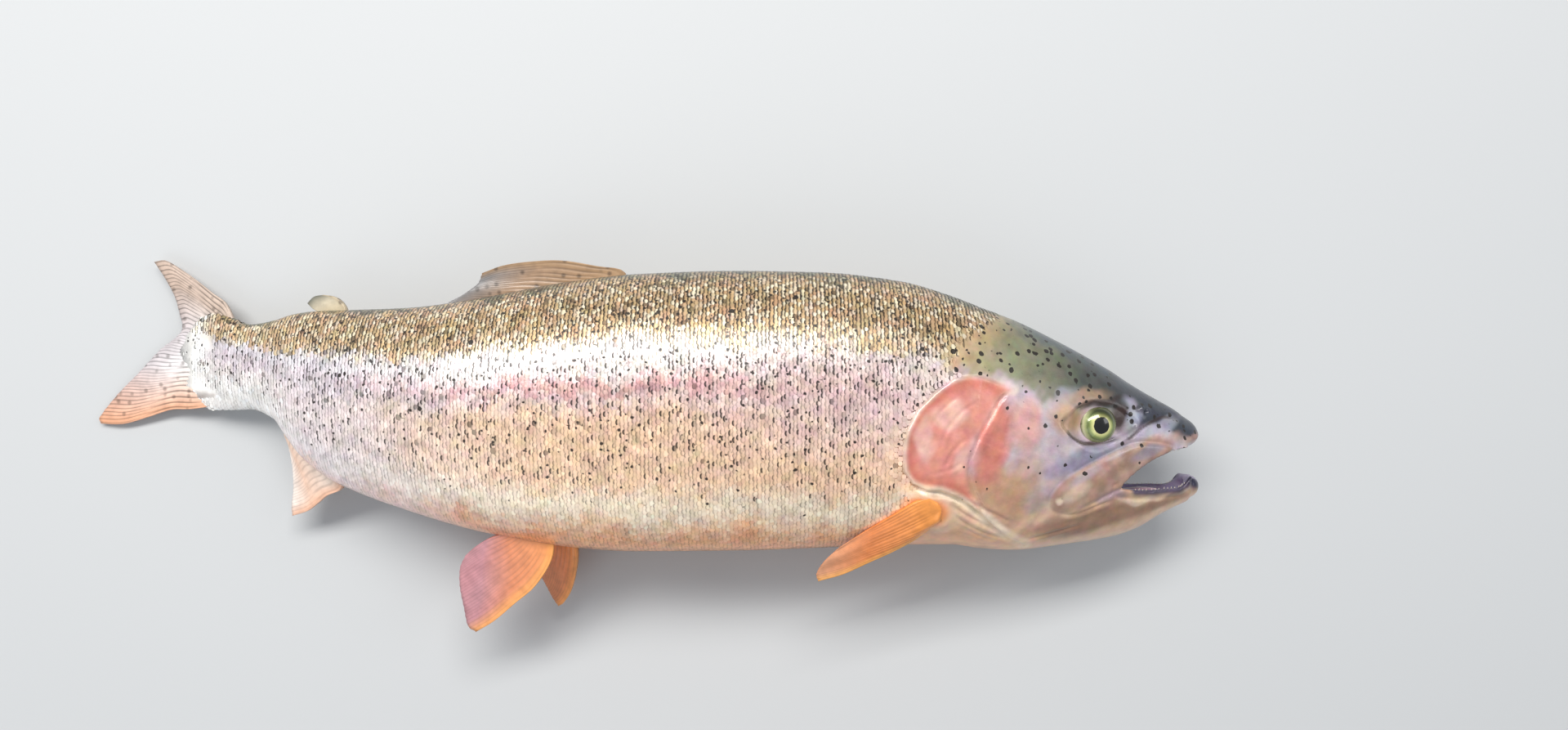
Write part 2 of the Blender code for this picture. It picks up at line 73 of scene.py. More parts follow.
# One section at each station: behind, back, belly, height of the widest level, half width.
STATIONS = np.array((
    (-1.4, -15, -45, -26, 4), (0.5, -9.8, -47.8, -25, 7.5), (3, -6.9, -48.8, -24, 10.2),
    (7, -4.2, -50.2, -23, 12.3), (13, 0.1, -52.7, -22, 14.6), (21.5, 4.8, -56.9, -21, 17.4),
    (30, 9.5, -61.8, -21, 20), (38.5, 14.6, -65.4, -21, 22.5), (47, 20.2, -67.7, -21, 24.8),
    (60, 27.6, -69.8, -20, 28), (73, 34.5, -71.4, -19, 31), (99, 47, -74, -16, 35.8),
    (116, 53.2, -73, -13, 38.5), (133, 59.7, -70.8, -10, 40.6), (159, 67, -70.9, -6, 42.8),
    (201, 71.6, -72.4, -2, 45.2), (244, 72.3, -73.8, 0, 46.5), (296, 70.6, -74.2, 0, 46.3),
    (331, 66.7, -72, 0, 44.6), (366, 60.5, -66.8, 0, 41), (393, 56, -61, 1, 37),
    (420, 53.4, -53.6, 3, 31.5), (453, 52.6, -43, 7, 25.5), (467, 52.4, -36, 10, 22.6),
    (479, 51.6, -27, 13, 20.2), (487, 50.2, -17.5, 16, 18), (496, 47.6, -6.8, 20, 15.6),
    (511, 45.4, -1.6, 22, 12.4), (524, 49.5, -2, 24, 9.4), (535, 52, -2, 25.5, 5.2), (546, 48, 3, 26, 1.7),
    (556, 40, 12, 27, 0.3),
))
ROUNDNESS = np.array(((0, 2.2), (60, 2.4), (130, 2.3), (200, 2.15), (556, 2.2)))
# Height of the middle plane over the floor: behind, height.
LIE = np.array((
    (-2, 35.5), (60, 39), (120, 42.6), (175, 44.3), (210, 44.5), (320, 44.5), (374, 41.5), (425, 34.5),
    (453, 29), (487, 22), (512, 16.5), (536, 11), (560, 6.5), (604, 2.2),
))
FRONT, END = STATIONS[0, 0], STATIONS[-1, 0]

# Lines on the side of the fish, as (behind, height) pairs.
UPPER_LIP = (
    (-9, -16.5), (1.7, -17.5), (6.5, -19.7), (13, -20.5), (21.5, -22.3), (30, -25.7), (38.5, -30.5),
)
LOWER_LIP = ((38.5, -41.2), (30, -41.6), (21.5, -41.2), (13, -40.9), (9.4, -39), (7, -35.8), (3.8, -34.4))
CHIN_FRONT = ((1, -35.6), (-0.8, -39.4), (-9, -41))
MOUTH_CORNER = (47.5, -39)
GILL_EDGE = (
    (105.9, 11), (121.3, 17.5), (135.5, 16.7), (144.6, 10.2), (153.8, 1.3), (159.1, -8.9), (161.1, -19),
    (160.3, -29.2), (155.8, -35.3), (149.7, -37.7), (141.6, -38.6), (133.5, -41.9), (125.4, -47.2),
    (119.7, -52.4),
)
THROAT_EDGE = ((119.7, -52.4), (112, -59), (104, -64.5), (96, -68.5))
GILL_OPENING = GILL_EDGE + THROAT_EDGE[1:]
CHEEK_EDGE = (
    (119.7, -52.4), (121.5, -47.5), (126.2, -39.4), (128.2, -31.2), (127.4, -23.1), (123.3, -13),
    (117.2, -2.8), (112.4, 5.3), (105.9, 11),
)
MAXILLA = (
    (18, -19.5), (31, -17), (42, -17.5), (61, -25), (73, -31), (81.5, -37.5), (86, -45), (84, -50.5),
    (76, -52), (66, -48.5), (57, -43.5), (48, -39.5), (40, -33), (30, -26.5), (20, -22.5),
)
ORBIT = (
    (38, -7), (44, 0.5), (53, 4), (64, 4.5), (74, 0.5), (80.5, -5.5), (76, -12), (68, -16.5), (57, -17.5),
    (46, -13.5),
)
SNOUT_GROOVE = ((41.5, -13.5), (34, -7.5), (23, -3.5), (14, -5.5))
PECTORAL_ROOT = ((140.5, -55), (145, -47.5), (149, -41.5))
# Folds and creases of the gill cover, the throat and the jaw: line, depth.
HEAD_FOLDS = (
    (((122, 6), (132, 0), (140, -10), (143, -20)), 0.3), (((131, 9), (141, 2), (148, -8)), 0.25),
    (((128, -12), (136, -19), (142, -30)), 0.3), (((131, -24), (137, -28), (150, -31)), 0.25),
    (((106, 2), (109, -10), (109, -22)), 0.25), (((134, -41), (124, -46), (112, -52), (104, -56.5)), 0.5),
    (((138, -45), (128, -52), (116, -58.5), (106, -62.5)), 0.6),
    (((136, -50), (126, -57.5), (115, -62.5), (104, -66)), 0.6),
    (((130, -58), (120, -63), (110, -66.5)), 0.5), (((128, -22), (127, -33), (122, -45), (116, -53)), 0.5),
    (((79, -53.5), (70, -52.5), (58, -48), (50, -45.5)), 0.6), (((98, -66), (84, -62.5), (66, -58)), 0.45),
    (((150, -39.5), (140, -41.5), (130, -46)), 0.45),
)
NOSTRILS = ((36.6, 0.4, 1.3, 1.8), (32.6, -1.4, 1, 1.3))  # behind, height, radius, depth
# The knob of the lower jaw and the tip of the snout: middle, radii.
ROUND_ENDS = (((6.5, -41, 0), (7.6, 6.6, 6.8)), ((10, -12.5, 0), (10.6, 8.6, 13.2)))
# Front edge of the scales, from the back down to the gill opening.
SCALE_FRONT = ((103, 60), (108, 46), (127, 34), (136, 22), (131, 17.5))


def curve(table, where, column=1):
    """The column at each distance behind the snout: a cubic through the rows that never overshoots them."""
    x, y = table[:, 0], table[:, column]
    where = np.clip(np.asarray(where, float), x[0], x[-1])
    span = np.diff(x)
    rise = np.diff(y) / span
    before, after = np.append(rise[:1], rise), np.append(rise, rise[-1:])
    both = before * after
    slope = np.where(both > 0.0, 2.0 * both / np.where(both > 0.0, before + after, 1.0), 0.0)
    row = np.clip(np.searchsorted(x, where, "right") - 1, 0, len(span) - 1)
    t = (where - x[row]) / span[row]
    return (
        y[row] * (1.0 + 2.0 * t) * (1.0 - t) ** 2
        + y[row + 1] * t * t * (3.0 - 2.0 * t)
        + span[row] * t * (1.0 - t) * ((1.0 - t) * slope[row] - t * slope[row + 1])
    )


def section(behind):
    """Back, belly, widest level and half width at each distance behind the snout."""
    return [curve(STATIONS, behind, column) for column in (1, 2, 3, 4)]


def surface(behind, angle, grow=0.0):
    """Points of the body's surface: angle 0 is the back, and a quarter turn the right flank."""
    back, belly, wide, half = section(behind)
    power = 2.0 / curve(ROUNDNESS, behind)
    up, out = np.cos(angle), np.sin(angle)
    tall = np.where(up > 0.0, back - wide, wide - belly) + grow
    height = wide + tall * np.sign(up) * np.abs(up) ** power
    side = (half + grow) * np.sign(out) * np.abs(out) ** power
    return np.stack(np.broadcast_arrays(behind, height, side), axis=-1)


def depth_under_surface(points):
    """How far each point is inside the body's smooth surface, in millimetres across the body."""
    behind, height, side = points.T
    back, belly, wide, half = section(behind)
    power = curve(ROUNDNESS, behind)
    up = height - wide
    tall = np.where(up > 0.0, back - wide, wide - belly)
    reach = (np.abs(up / tall) ** power + np.abs(side / half) ** power) ** (1.0 / power)
    out = np.hypot(up, side)
    return out / np.maximum(reach, 1e-3) - out


# The snout's tip and the top of the back tie the straight form to the frame.
SNOUT_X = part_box("lower_jaw")[1].x / MM + FRONT
BACK_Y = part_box("trunk")[1].y / MM - float(STATIONS[:, 1].max())


def laid_down(points):
    """Straight millimetres to the frame's metres, flattened where the flesh bears on the floor."""
    points = np.asarray(points, float)
    behind, height, side = points[..., 0], points[..., 1], points[..., 2]
    lift = np.maximum(side + curve(LIE, behind), 0.0)
    return np.stack((SNOUT_X - behind, height + BACK_Y, lift), axis=-1) * MM


def step(low, high, value):
    """0 below low, 1 above high, smooth between."""
    t = np.clip((value - low) / (high - low), 0.0, 1.0)
    return t * t * (3.0 - 2.0 * t)


def line_distance(points, line, closed=False):
    """For each (behind, height) point: distance to the line, share of the way along it, and its side."""
    line = np.asarray(line, float)
    ends = np.roll(line, -1, axis=0) if closed else line[1:]
    starts = line if closed else line[:-1]
    best = np.full(len(points), 1e9)
    along = np.zeros(len(points))
    side = np.zeros(len(points))
    for i, (start, end) in enumerate(zip(starts, ends)):
        way = end - start
        t = np.clip(((points - start) @ way) / (way @ way), 0.0, 1.0)
        gap = points - start - t[:, None] * way
        distance = np.hypot(gap[:, 0], gap[:, 1])
        nearer = distance < best
        best = np.where(nearer, distance, best)
        along = np.where(nearer, (i + t) / len(starts), along)
        cross = way[0] * (points[:, 1] - start[1]) - way[1] * (points[:, 0] - start[0])
        side = np.where(nearer, np.sign(cross), side)
    return best, along, side


def inside(points, outline):
    """True for each (behind, height) point inside the closed outline."""
    outline = np.asarray(outline, float)
    found = np.zeros(len(points), bool)
    for start, end in zip(outline, np.roll(outline, -1, axis=0)):
        crosses = (start[1] > points[:, 1]) != (end[1] > points[:, 1])
        rise = end[1] - start[1] if end[1] != start[1] else 1e-9
        where = start[0] + (points[:, 1] - start[1]) * (end[0] - start[0]) / rise
        found ^= crosses & (points[:, 0] < where)
    return found


def signed_distance(points, outline):
    """Distance to the closed outline, positive inside it."""
    distance = line_distance(points, outline, True)[0]
    return np.where(inside(points, outline), distance, -distance)


def smooth_outline(points, cells=4, closed=True):
    """The line with more points, on a smooth curve through the given ones."""
    points = np.asarray(points, float)
    count = len(points)
    rows = []
    for i in range(count if closed else count - 1):
        near = np.arange(i - 1, i + 3)
        a, b, c, d = points[near % count if closed else np.clip(near, 0, count - 1)]
        span = np.linalg.norm(c - b)
        leave = (c - a) * span / (span + np.linalg.norm(b - a) + 1e-9)
        arrive = (d - b) * span / (span + np.linalg.norm(d - c) + 1e-9)
        for k in range(cells):
            f = k / cells
            rows.append(
                b * (1 + 2 * f) * (1 - f) ** 2
                + c * f * f * (3 - 2 * f)
                + f * (1 - f) * ((1 - f) * leave - f * arrive)
            )
    if not closed:
        rows.append(points[-1])
    return np.array(rows)


# -------- Colours and sizes that a user would change --------------


def linear(code):
    """A colour's sRGB hex code as linear red, green and blue."""
    parts = [int(code[i : i + 2], 16) / 255.0 for i in (1, 3, 5)]
    return tuple(c / 12.92 if c <= 0.04045 else ((c + 0.055) / 1.055) ** 2.4 for c in parts)


def colour(name, code, description):
    return FloatVectorProperty(
        name=name, description=description, default=linear(code), subtype="COLOR", size=3, min=0.0, max=1.0
    )


class TroutColours(bpy.types.PropertyGroup):
    """Colours of the skin, the scales and the mouth."""

    ridge: colour("Ridge", "#77745A", "Dark green edge of the back")
    back: colour("Back", "#C4A47C", "Olive gold of the back")
    glint: colour("Glint", "#F4E6CA", "Cream glint of single scales on the back")
    gold: colour("Gold", "#D8BA94", "Golden band under the back")
    # The silver band is partly the silvery skin and partly a painted highlight where the light glances off
    # the upper flank.
    silver: colour("Silver", "#D9CEC9", "Silver white band of the upper flank")
    stripe: colour("Stripe", "#E8CBC6", "Pink lilac stripe along the side")
    line: colour("Lateral line", "#DAACA8", "Pink along the lateral line")
    flank: colour("Flank", "#F4CEAE", "Tan of the lower flank")
    cream: colour("Cream", "#F9E6CC", "Cream of the lower side")
    belly: colour("Belly", "#F0AE80", "Peach of the belly")
    # tail_white and tail_root are partly pale skin and partly a painted highlight toward the tail.
    tail_white: colour("Tail white", "#EDE8F0", "Cold white of the flank toward the tail")
    tail_root: colour("Tail root", "#FFFDF8", "White where the flesh runs out onto the tail fin")
    spot: colour("Spots", "#201812", "Dark spots")
    cover: colour("Gill cover", "#E39A88", "Salmon red of the gill cover")
    cover_deep: colour("Gill cover shade", "#CF7A6A", "Deeper red along the edges of the gill cover")
    cover_glint: colour("Gill cover glint", "#F7D0C4", "Pale pink sheen on the gill cover")
    cheek: colour("Cheek", "#BFAEB6", "Lilac silver of the cheek")
    olive: colour("Olive", "#8E8E70", "Grey olive of the top of the head")
    brow: colour("Brow", "#4E524C", "Brown grey skin over the eye")
    slate: colour("Slate", "#434E58", "Slate blue along the ridge of the head")
    snout: colour("Snout", "#3A3E49", "Dark grey of the snout")
    pearl: colour("Pearl", "#A3A4B2", "Pale patches about the nostril")
    under_eye: colour("Under the eye", "#8C889A", "Grey lilac skin under the eye")
    jaw: colour("Jaw", "#BC9686", "Peach pink of the jaws")
    # jaw_shade is painted shade on the underside of the jaw, the throat and the cheek; in the strap of the
    # upper jaw it is a brown tone.
    jaw_shade: colour("Jaw shade", "#84634F", "Brown underside of the lower jaw")
    tan: colour("Tan", "#C0977A", "Yellow tan under the cheek")
    throat: colour("Throat", "#DDB89A", "Peach of the throat")
    lip: colour("Lip", "#564B5E", "Purple grey of the lower lip")
    hook: colour("Hook", "#2A2740", "Dark tip of the hooked jaw")
    lining: colour("Lining", "#8B7F9C", "Lilac of the mouth")
    gullet: colour("Gullet", "#3A2226", "Dark red at the back of the mouth")
    orbit_rear: colour("Behind the eye", "#B8977C", "Peach skin behind the eye")
    orbit_front: colour("Before the eye", "#35231F", "Dark brown skin before the eye")
    # orbit_front is also painted as shade: the line over the eye and the creases under the eye and along
    # the snout.
    fin_root: colour("Fin root", "#EE9A5C", "Orange skin about the roots of the paired fins")


def length(name, millimetres, description):
    return FloatProperty(name=name, description=description, default=millimetres * MM, unit="LENGTH")


class TroutSizes(bpy.types.PropertyGroup):
    """Sizes of the small parts."""

    scale_step: length("Scale step", 1.95, "Distance from one scale to the next in a row")
    row_step: length("Row step", 2.6, "Distance between two rows of scales")
    scale_lift: length("Scale lift", 0.2, "Height of a scale's rear edge over the skin")
    coat_depth: length("Coat depth", 0.3, "How far the skin lies inside the solids")
    tooth_length: length("Tooth length", 1.3, "Length of the longest teeth, roots included")
    voxel: length("Skin detail", 0.8, "Size of the skin's finest faces")
    skin_faces: IntProperty(
        name="Skin triangles", description="Most triangles that the skin keeps", default=190000
    )


# -------- Small helpers -------------------------------------------


def settings():
    return bpy.context.scene.trout_sizes


def palette(name):
    return np.array(getattr(bpy.context.scene.trout_colours, name)[:3])


def linked(name, data):
    """A new object at the origin, in the scene."""
    obj = bpy.data.objects.new(name, data)
    bpy.context.scene.collection.objects.link(obj)
    return obj


def shade_smooth(mesh):
    mesh.polygons.foreach_set("use_smooth", [True] * len(mesh.polygons))


def new_object(name, shape):
    """The finished bmesh as an object at the origin."""
    mesh = bpy.data.meshes.new(name)
    shape.to_mesh(mesh)
    shape.free()
    shade_smooth(mesh)
    return linked(name, mesh)


def piece(obj, material, slot, *nodes):
    """Gives a finished object its material, hangs it under the frame's root and hides the solids it
    replaces; the slot is not used.
    """
    obj.data.materials.clear()
    obj.data.materials.append(material)
    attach(obj, "root")
    if nodes:
        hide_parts(*nodes)
    return obj


def applied(obj):
    """The object's mesh with its modifiers applied, in place of the old one."""
    graph = bpy.context.evaluated_depsgraph_get()
    mesh = bpy.data.meshes.new_from_object(obj.evaluated_get(graph))
    old = obj.data
    obj.modifiers.clear()
    obj.data = mesh
    bpy.data.meshes.remove(old)
    mesh.name = obj.name
    return mesh


def coordinates(mesh):
    co = np.empty(len(mesh.vertices) * 3)
    mesh.vertices.foreach_get("co", co)
    return co.reshape(-1, 3)


def set_coordinates(mesh, co):
    mesh.vertices.foreach_set("co", np.ascontiguousarray(co, float).ravel())
    mesh.update()


def put_attribute(mesh, name, values):
    """Stores one number or one colour for each vertex."""
    values = np.asarray(values, float)
    if values.ndim == 1:
        mesh.attributes.new(name, "FLOAT", "POINT").data.foreach_set("value", values)
    else:
        rgba = np.concatenate((values, np.ones((len(values), 1))), axis=1)
        mesh.attributes.new(name, "FLOAT_COLOR", "POINT").data.foreach_set("color", rgba.ravel())


def node(tree, kind, sets=(), links=()):
    """Adds a node: sets are (input or property, value) pairs, links (input, node or output socket) pairs.

    A node that is linked gives its first output. A colour ramp's stops are (position, hex code) pairs.
    """
    made = tree.nodes.new("ShaderNode" + kind)
    for key, value in dict(sets).items():
        if key == "stops":
            ramp = made.color_ramp.elements
            ramp[0].position, ramp[1].position = value[0][0], value[-1][0]
            for position, _ in value[1:-1]:
                ramp.new(position)
            for stop, (_, code) in zip(ramp, value):
                stop.color = (*linear(code), 1.0)
        elif isinstance(key, str) and hasattr(made, key):
            setattr(made, key, value)
        else:
            made.inputs[key].default_value = value
    for key, source in dict(links).items():
        if isinstance(source, bpy.types.Node):
            source = next(socket for socket in source.outputs if socket.enabled)
        tree.links.new(source, made.inputs[key])
    return made


def new_material(name):
    """An empty material, and the call that adds a node to it."""
    material = bpy.data.materials.new(name)
    material.use_nodes = True
    material.node_tree.nodes.clear()
    return material, functools.partial(node, material.node_tree)


def finish(add, sets, links=()):
    """Ends a material with its shader."""
    add("OutputMaterial", (), {"Surface": add("BsdfPrincipled", sets, links)})


def mottled_material(name, grain, detail, colours, sets):
    """A material whose colour wanders between two colours, over a grain of so many millimetres."""
    material, add = new_material(name)
    place = add("TexCoord").outputs["Object"]
    noise = add("TexNoise", {"Scale": 1.0 / (grain * MM), "Detail": detail}, {"Vector": place})
    ramp = add("ValToRGB", {"stops": tuple(zip((0.0, 1.0), colours))}, {"Fac": noise})
    finish(add, sets, {"Base Color": ramp})
    return material


# -------- Markings, the same on the skin and on the scales --------

# Bands of the flank, from belly to back: share of the way from the widest level to belly or back, colour.
BANDS = (
    (-1, "belly"), (-0.9, "belly"), (-0.68, "cream"), (-0.62, "cream"), (-0.48, "flank"), (-0.05, "flank"),
    # The silver stops are partly silvery skin and partly a painted highlight band along the upper flank.
    (0.1, "stripe"), (0.15, "line"), (0.2, "line"), (0.24, "stripe"), (0.31, "silver"), (0.43, "silver"),
    (0.53, "gold"), (0.62, "back"), (0.92, "back"), (0.99, "ridge"),
)
# Soft patches on the head: colour, behind, height, half length, half breadth, turn in degrees, strength.
PATCHES = (
    ("tan", 112, -42, 18, 15, -20, 0.9), ("tan", 98, -30, 10, 16, -10, 0.5),
    ("cheek", 84, -36, 11, 9, 30, 0.5), ("pearl", 90, -44, 13, 8, 25, 0.4),
    # The jaw_shade patches under the cheek, the jaw and the throat are painted shade on the underside of
    # the head.
    ("under_eye", 77, -26, 14, 6, 25, 0.6), ("jaw_shade", 100, -50, 16, 6, 25, 0.25),
    ("pearl", 78, 7.5, 8, 5, 25, 0.5), ("snout", 26, 0.5, 27, 7, 32, 0.95),
    ("snout", 9, -8, 12, 6, 25, 0.9), ("pearl", 41, -1, 7.5, 8, 30, 0.9),
    ("pearl", 26, -9.5, 15, 4.2, 22, 0.8), ("under_eye", 62, -23, 28, 7, 20, 0.95),
    ("cheek", 48, -16, 9, 3, 20, 0.5), ("cover", 99, -6, 9.5, 15, -10, 0.6),
    ("cover_deep", 116, -13, 11, 27, -14, 0.95), ("cover_glint", 119, 0, 5, 9, -14, 0.5),
    ("cover_deep", 112, -22, 5, 10, -14, 0.4), ("jaw", 33, -20, 24, 5.5, 18, 1),
    ("jaw", 5, -15.5, 8, 3.5, 0, 0.6), ("jaw_shade", 62, -56, 44, 8, 12, 0.8),
    # The cream patch at (34, -46) is a painted highlight along the side of the lower jaw.
    ("jaw_shade", 20, -48, 20, 4, 16, 0.7), ("cream", 34, -46, 14, 2.4, 0, 0.4),
    ("lining", 54, -43.5, 12, 4, 10, 0.6), ("lip", 55, -37, 9, 3.5, 25, 0.5),
    ("tan", 66, 7.5, 15, 4.5, 6, 0.55), ("orbit_rear", 76, -4, 12, 10, 0, 1),
    ("tan", 72.5, -8, 5, 6, 20, 0.5), ("orbit_front", 48, -4, 5.6, 9, -12, 1),
    # The orbit_front patch at (58, 4) is a painted shadow of the brow, a dark line over the eye.
    ("orbit_front", 58, 4, 15, 2.6, 5, 0.7),
)
# Warm skin about the roots of the lower fins: behind, height, radius, strength.
FIN_ROOTS = ((149, -50, 17, 1), (346, -66, 13, 0.35), (474, -29, 10, 0.2))
# Pale sheen on the gill cover: behind, height, half length, half breadth, turn in degrees.
COVER_GLINTS = ((138, -1, 12, 7, 10), (150, -14, 5, 13, 0), (131, -22, 5, 10, -20))
# Painted shade in the creases: under the eye, along the snout, over the eye. Line, breadth, strength.
PAINTED_CREASE_SHADE = (
    (((78, -9), (75, -13), (67.6, -16.6), (57.4, -16), (47, -13.5)), 1.5, 0.85),
    (((46, -15), (41.5, -13.5), (34, -8.2), (23, -4.2), (15, -5)), 1.1, 0.7),
    (((72, 0.5), (66, 4), (57, 4.6), (49, 3)), 1.4, 0.6),
)
# Marks of the strap of bone along the upper jaw, with a painted highlight on its round rear end.
MAXILLA_PATCHES = (
    ("jaw_shade", 36, -22, 20, 3, 25, 0.7), ("cheek", 45, -19.5, 16, 2, 25, 0.6),
    ("under_eye", 31, -20.5, 15, 4, 22, 0.75), ("jaw_shade", 56, -34, 12, 2.6, 28, 0.4),
    # The small cream patch at (80.5, -45) is a painted highlight on the strap's rear end.
    ("cream", 72, -40.5, 10, 4.5, 30, 0.45), ("cream", 80.5, -45, 2.4, 2.6, 0, 0.7),
    ("cheek", 68, -33, 12, 3, 30, 0.6),
)


def level(points):
    """Share of the way from the widest level up to the back, or down to the belly as a negative number."""
    behind, height = points[:, 0], points[:, 1]
    back, belly, wide, _ = section(behind)
    up = height - wide
    return np.where(up > 0.0, up / (back - wide), up / (wide - belly))


def wobble(points, size, seed):
    """A smooth wandering number between about -1 and 1, changing over the given size in millimetres."""
    x, y, z = (points / size).T
    total = np.sin(1.3 * x + 0.9 * y + seed) * np.sin(1.7 * y - 0.6 * z + 2.1 * seed)
    total = total + 0.6 * np.sin(2.9 * x - 1.9 * y + 0.8 * z + 3.7 * seed)
    return (total + 0.4 * np.sin(4.7 * x + 3.8 * y + 5.3 * seed)) / 1.6


def patch(points, behind, height, long_half, broad_half, turn):
    """A soft round patch on the side of the fish: 1 in its middle, 0 outside."""
    angle = math.radians(turn)
    dx, dy = points[:, 0] - behind, points[:, 1] - height
    along = dx * math.cos(angle) - dy * math.sin(angle)
    across = dx * math.sin(angle) + dy * math.cos(angle)
    return 1.0 - step(0.45, 1.15, np.hypot(along / long_half, across / broad_half))


def mixed(base, other, share):
    """The base colours with a share of the other ones, or of the palette's colour by that name."""
    other = palette(other) if isinstance(other, str) else other
    return base + (other - base) * np.clip(share, 0.0, 1.0)[:, None]


def blended(value, stops, names):
    """Colours of the palette, blended from one to the next at these stops of the value."""
    colours = np.array([palette(name) for name in names])
    return np.stack([np.interp(value, stops, channel) for channel in colours.T], axis=1)


def between(value, start, full, fade, end):
    """1 from full to fade, and 0 before start and after end."""
    return step(start, full, value) * (1.0 - step(fade, end, value))


def fading(along, share):
    """1 along a line, fading over this share of it to 0 at its two ends."""
    return step(0.0, share, along) * step(0.0, share, 1.0 - along)


def markings(points, depth=None):
    """Colour of each point, and by name how silvery and how spotted it is: flank, head and mouth."""
    place, behind = points[:, :2], points[:, 0]
    height = level(points) + 0.06 * wobble(points, 16.0, 1.0) + 0.035 * wobble(points, 4.0, 2.0)
    tint = blended(height, [share for share, _ in BANDS], [name for _, name in BANDS])
    # Toward the tail the flank pales to a cold white, partly its own colour and partly a painted highlight,
    # and the back to gold; before it the pink is deepest.
    tail = step(330.0, 480.0, behind + 12.0 * wobble(points, 20.0, 5.0))
    fore = 1.0 - step(180.0, 300.0, behind)
    tint = mixed(tint, "tail_white", 0.75 * tail * (1.0 - step(0.3, 0.55, height)))
    tint = mixed(tint, "gold", 0.55 * tail * between(height, 0.5, 0.62, 0.86, 0.98))
    tint = mixed(tint, "stripe", 0.75 * fore * between(height, -0.4, -0.05, 0.3, 0.5))
    # The near-white at the root of the tail fin is partly pale flesh and partly a painted highlight,
    # lightened where the surface turns away from the lamps.
    tint = mixed(tint, "tail_root", 0.8 * step(470.0, 505.0, behind) * (1.0 - step(-0.5, 0.0, height)))
    stalk_end = step(530.0, 545.0, behind)
    tint = mixed(tint, "tail_root", stalk_end)
    rooted = np.zeros(len(points))
    for root, tall, wide, share in FIN_ROOTS:
        spread = np.hypot(behind - root, (points[:, 1] - tall) * 1.6) / wide
        rooted = np.maximum(rooted, share * (1.0 - step(0.5, 1.05, spread)))
    tint = mixed(tint, "fin_root", rooted)
    silver = 0.55 + 0.3 * between(height, -0.3, 0.3, 0.5, 0.75)
    silver *= 1.0 - 0.8 * stalk_end

    # The bare head ends sharply at the gill opening, and runs into the scales at nape and breast.
    # Its top darkens from olive at the nape to grey at the snout; the cheek is silvery.
    soft = 2.0 + 14.0 * step(12.0, 40.0, points[:, 1]) + 14.0 * (1.0 - step(-74.0, -52.0, points[:, 1]))
    head = step(-1.0, 1.0, head_reach(place) / soft)
    top = blended(behind, (32.0, 66.0, 108.0, 145.0), ("snout", "brow", "olive", "back"))
    bare = mixed(np.broadcast_to(palette("throat"), tint.shape), "tan", step(-0.62, -0.42, height))
    bare = mixed(bare, "cheek", step(-0.42, -0.15, height))
    bare = mixed(bare, top, step(0.36, 0.52, height))
    drift = np.stack((wobble(points, 9.0, 3.0), wobble(points, 9.0, 4.0), np.zeros(len(points))), axis=1)
    for name, *shape, strength in PATCHES:
        bare = mixed(bare, name, strength * patch(points + 1.8 * drift, *shape))
    # Painted shade along the creases, in the dark colour of the skin before the eye.
    for line, broad, strength in PAINTED_CREASE_SHADE:
        away, along, _ = line_distance(place, smooth_outline(line, 4, closed=False))
        dark = strength * fading(along, 0.15) * (1.0 - step(0.3 * broad, broad, away))
        bare = mixed(bare, "orbit_front", dark)

    # The gill cover is deepest along its edge, and a cream rim shows behind it.
    to_gill = line_distance(place, GILL_OPENING)[0]
    cover = step(-1.0, 4.0, signed_distance(place, GILL_OUTLINE))
    bare = mixed(bare, "cover", 0.95 * cover)
    clouds = cover * (0.5 + 0.5 * wobble(points, 5.0, 6.0)) * 0.45
    bare = mixed(bare, "cover_deep", cover * (1.0 - step(1.5, 9.0, to_gill)) + clouds)
    for shape in COVER_GLINTS:
        bare = mixed(bare, "cover_glint", 0.5 * patch(points + 2.5 * drift, *shape) * cover)
    rim = (1.0 - step(1.5, 4.5, to_gill)) * (1.0 - cover) * (1.0 - 0.7 * step(0.0, 18.0, points[:, 1]))
    bare = mixed(bare, "cream", 0.75 * rim)

    strap = np.broadcast_to(palette("jaw"), bare.shape)
    strap = mixed(strap, "jaw_shade", 0.3 + 0.3 * wobble(points, 6.0, 7.0))
    for name, *shape, strength in MAXILLA_PATCHES:
        strap = mixed(strap, name, strength * patch(points + drift, *shape))
    bare = mixed(bare, strap, 0.9 * step(-0.8, 1.2, signed_distance(place, MAXILLA_OUTLINE)))
    lip = 1.0 - step(1.2, 4.2, line_distance(place, LOWER_LIP + CHIN_FRONT[:2])[0])
    bare = mixed(bare, "lip", lip * (points[:, 1] < -34.0))
    bare = mixed(bare, "hook", 1.0 - step(3.0, 8.5, np.hypot(behind - 2.5, points[:, 1] + 37.0)))
    ridge = step(0.8, 0.97, height) * step(20.0, 60.0, behind)
    bare = mixed(bare, "slate", 0.75 * ridge * (1.0 - 0.8 * step(80.0, 140.0, behind)))
    bare = mixed(bare, "belly", 0.75 * (1.0 - step(-0.95, -0.7, height)) * step(70.0, 140.0, behind))
    tint = mixed(tint, bare, head * (1.0 - rooted))
    silver = (silver + (0.35 - silver) * head) * (1.0 - 0.8 * rooted)

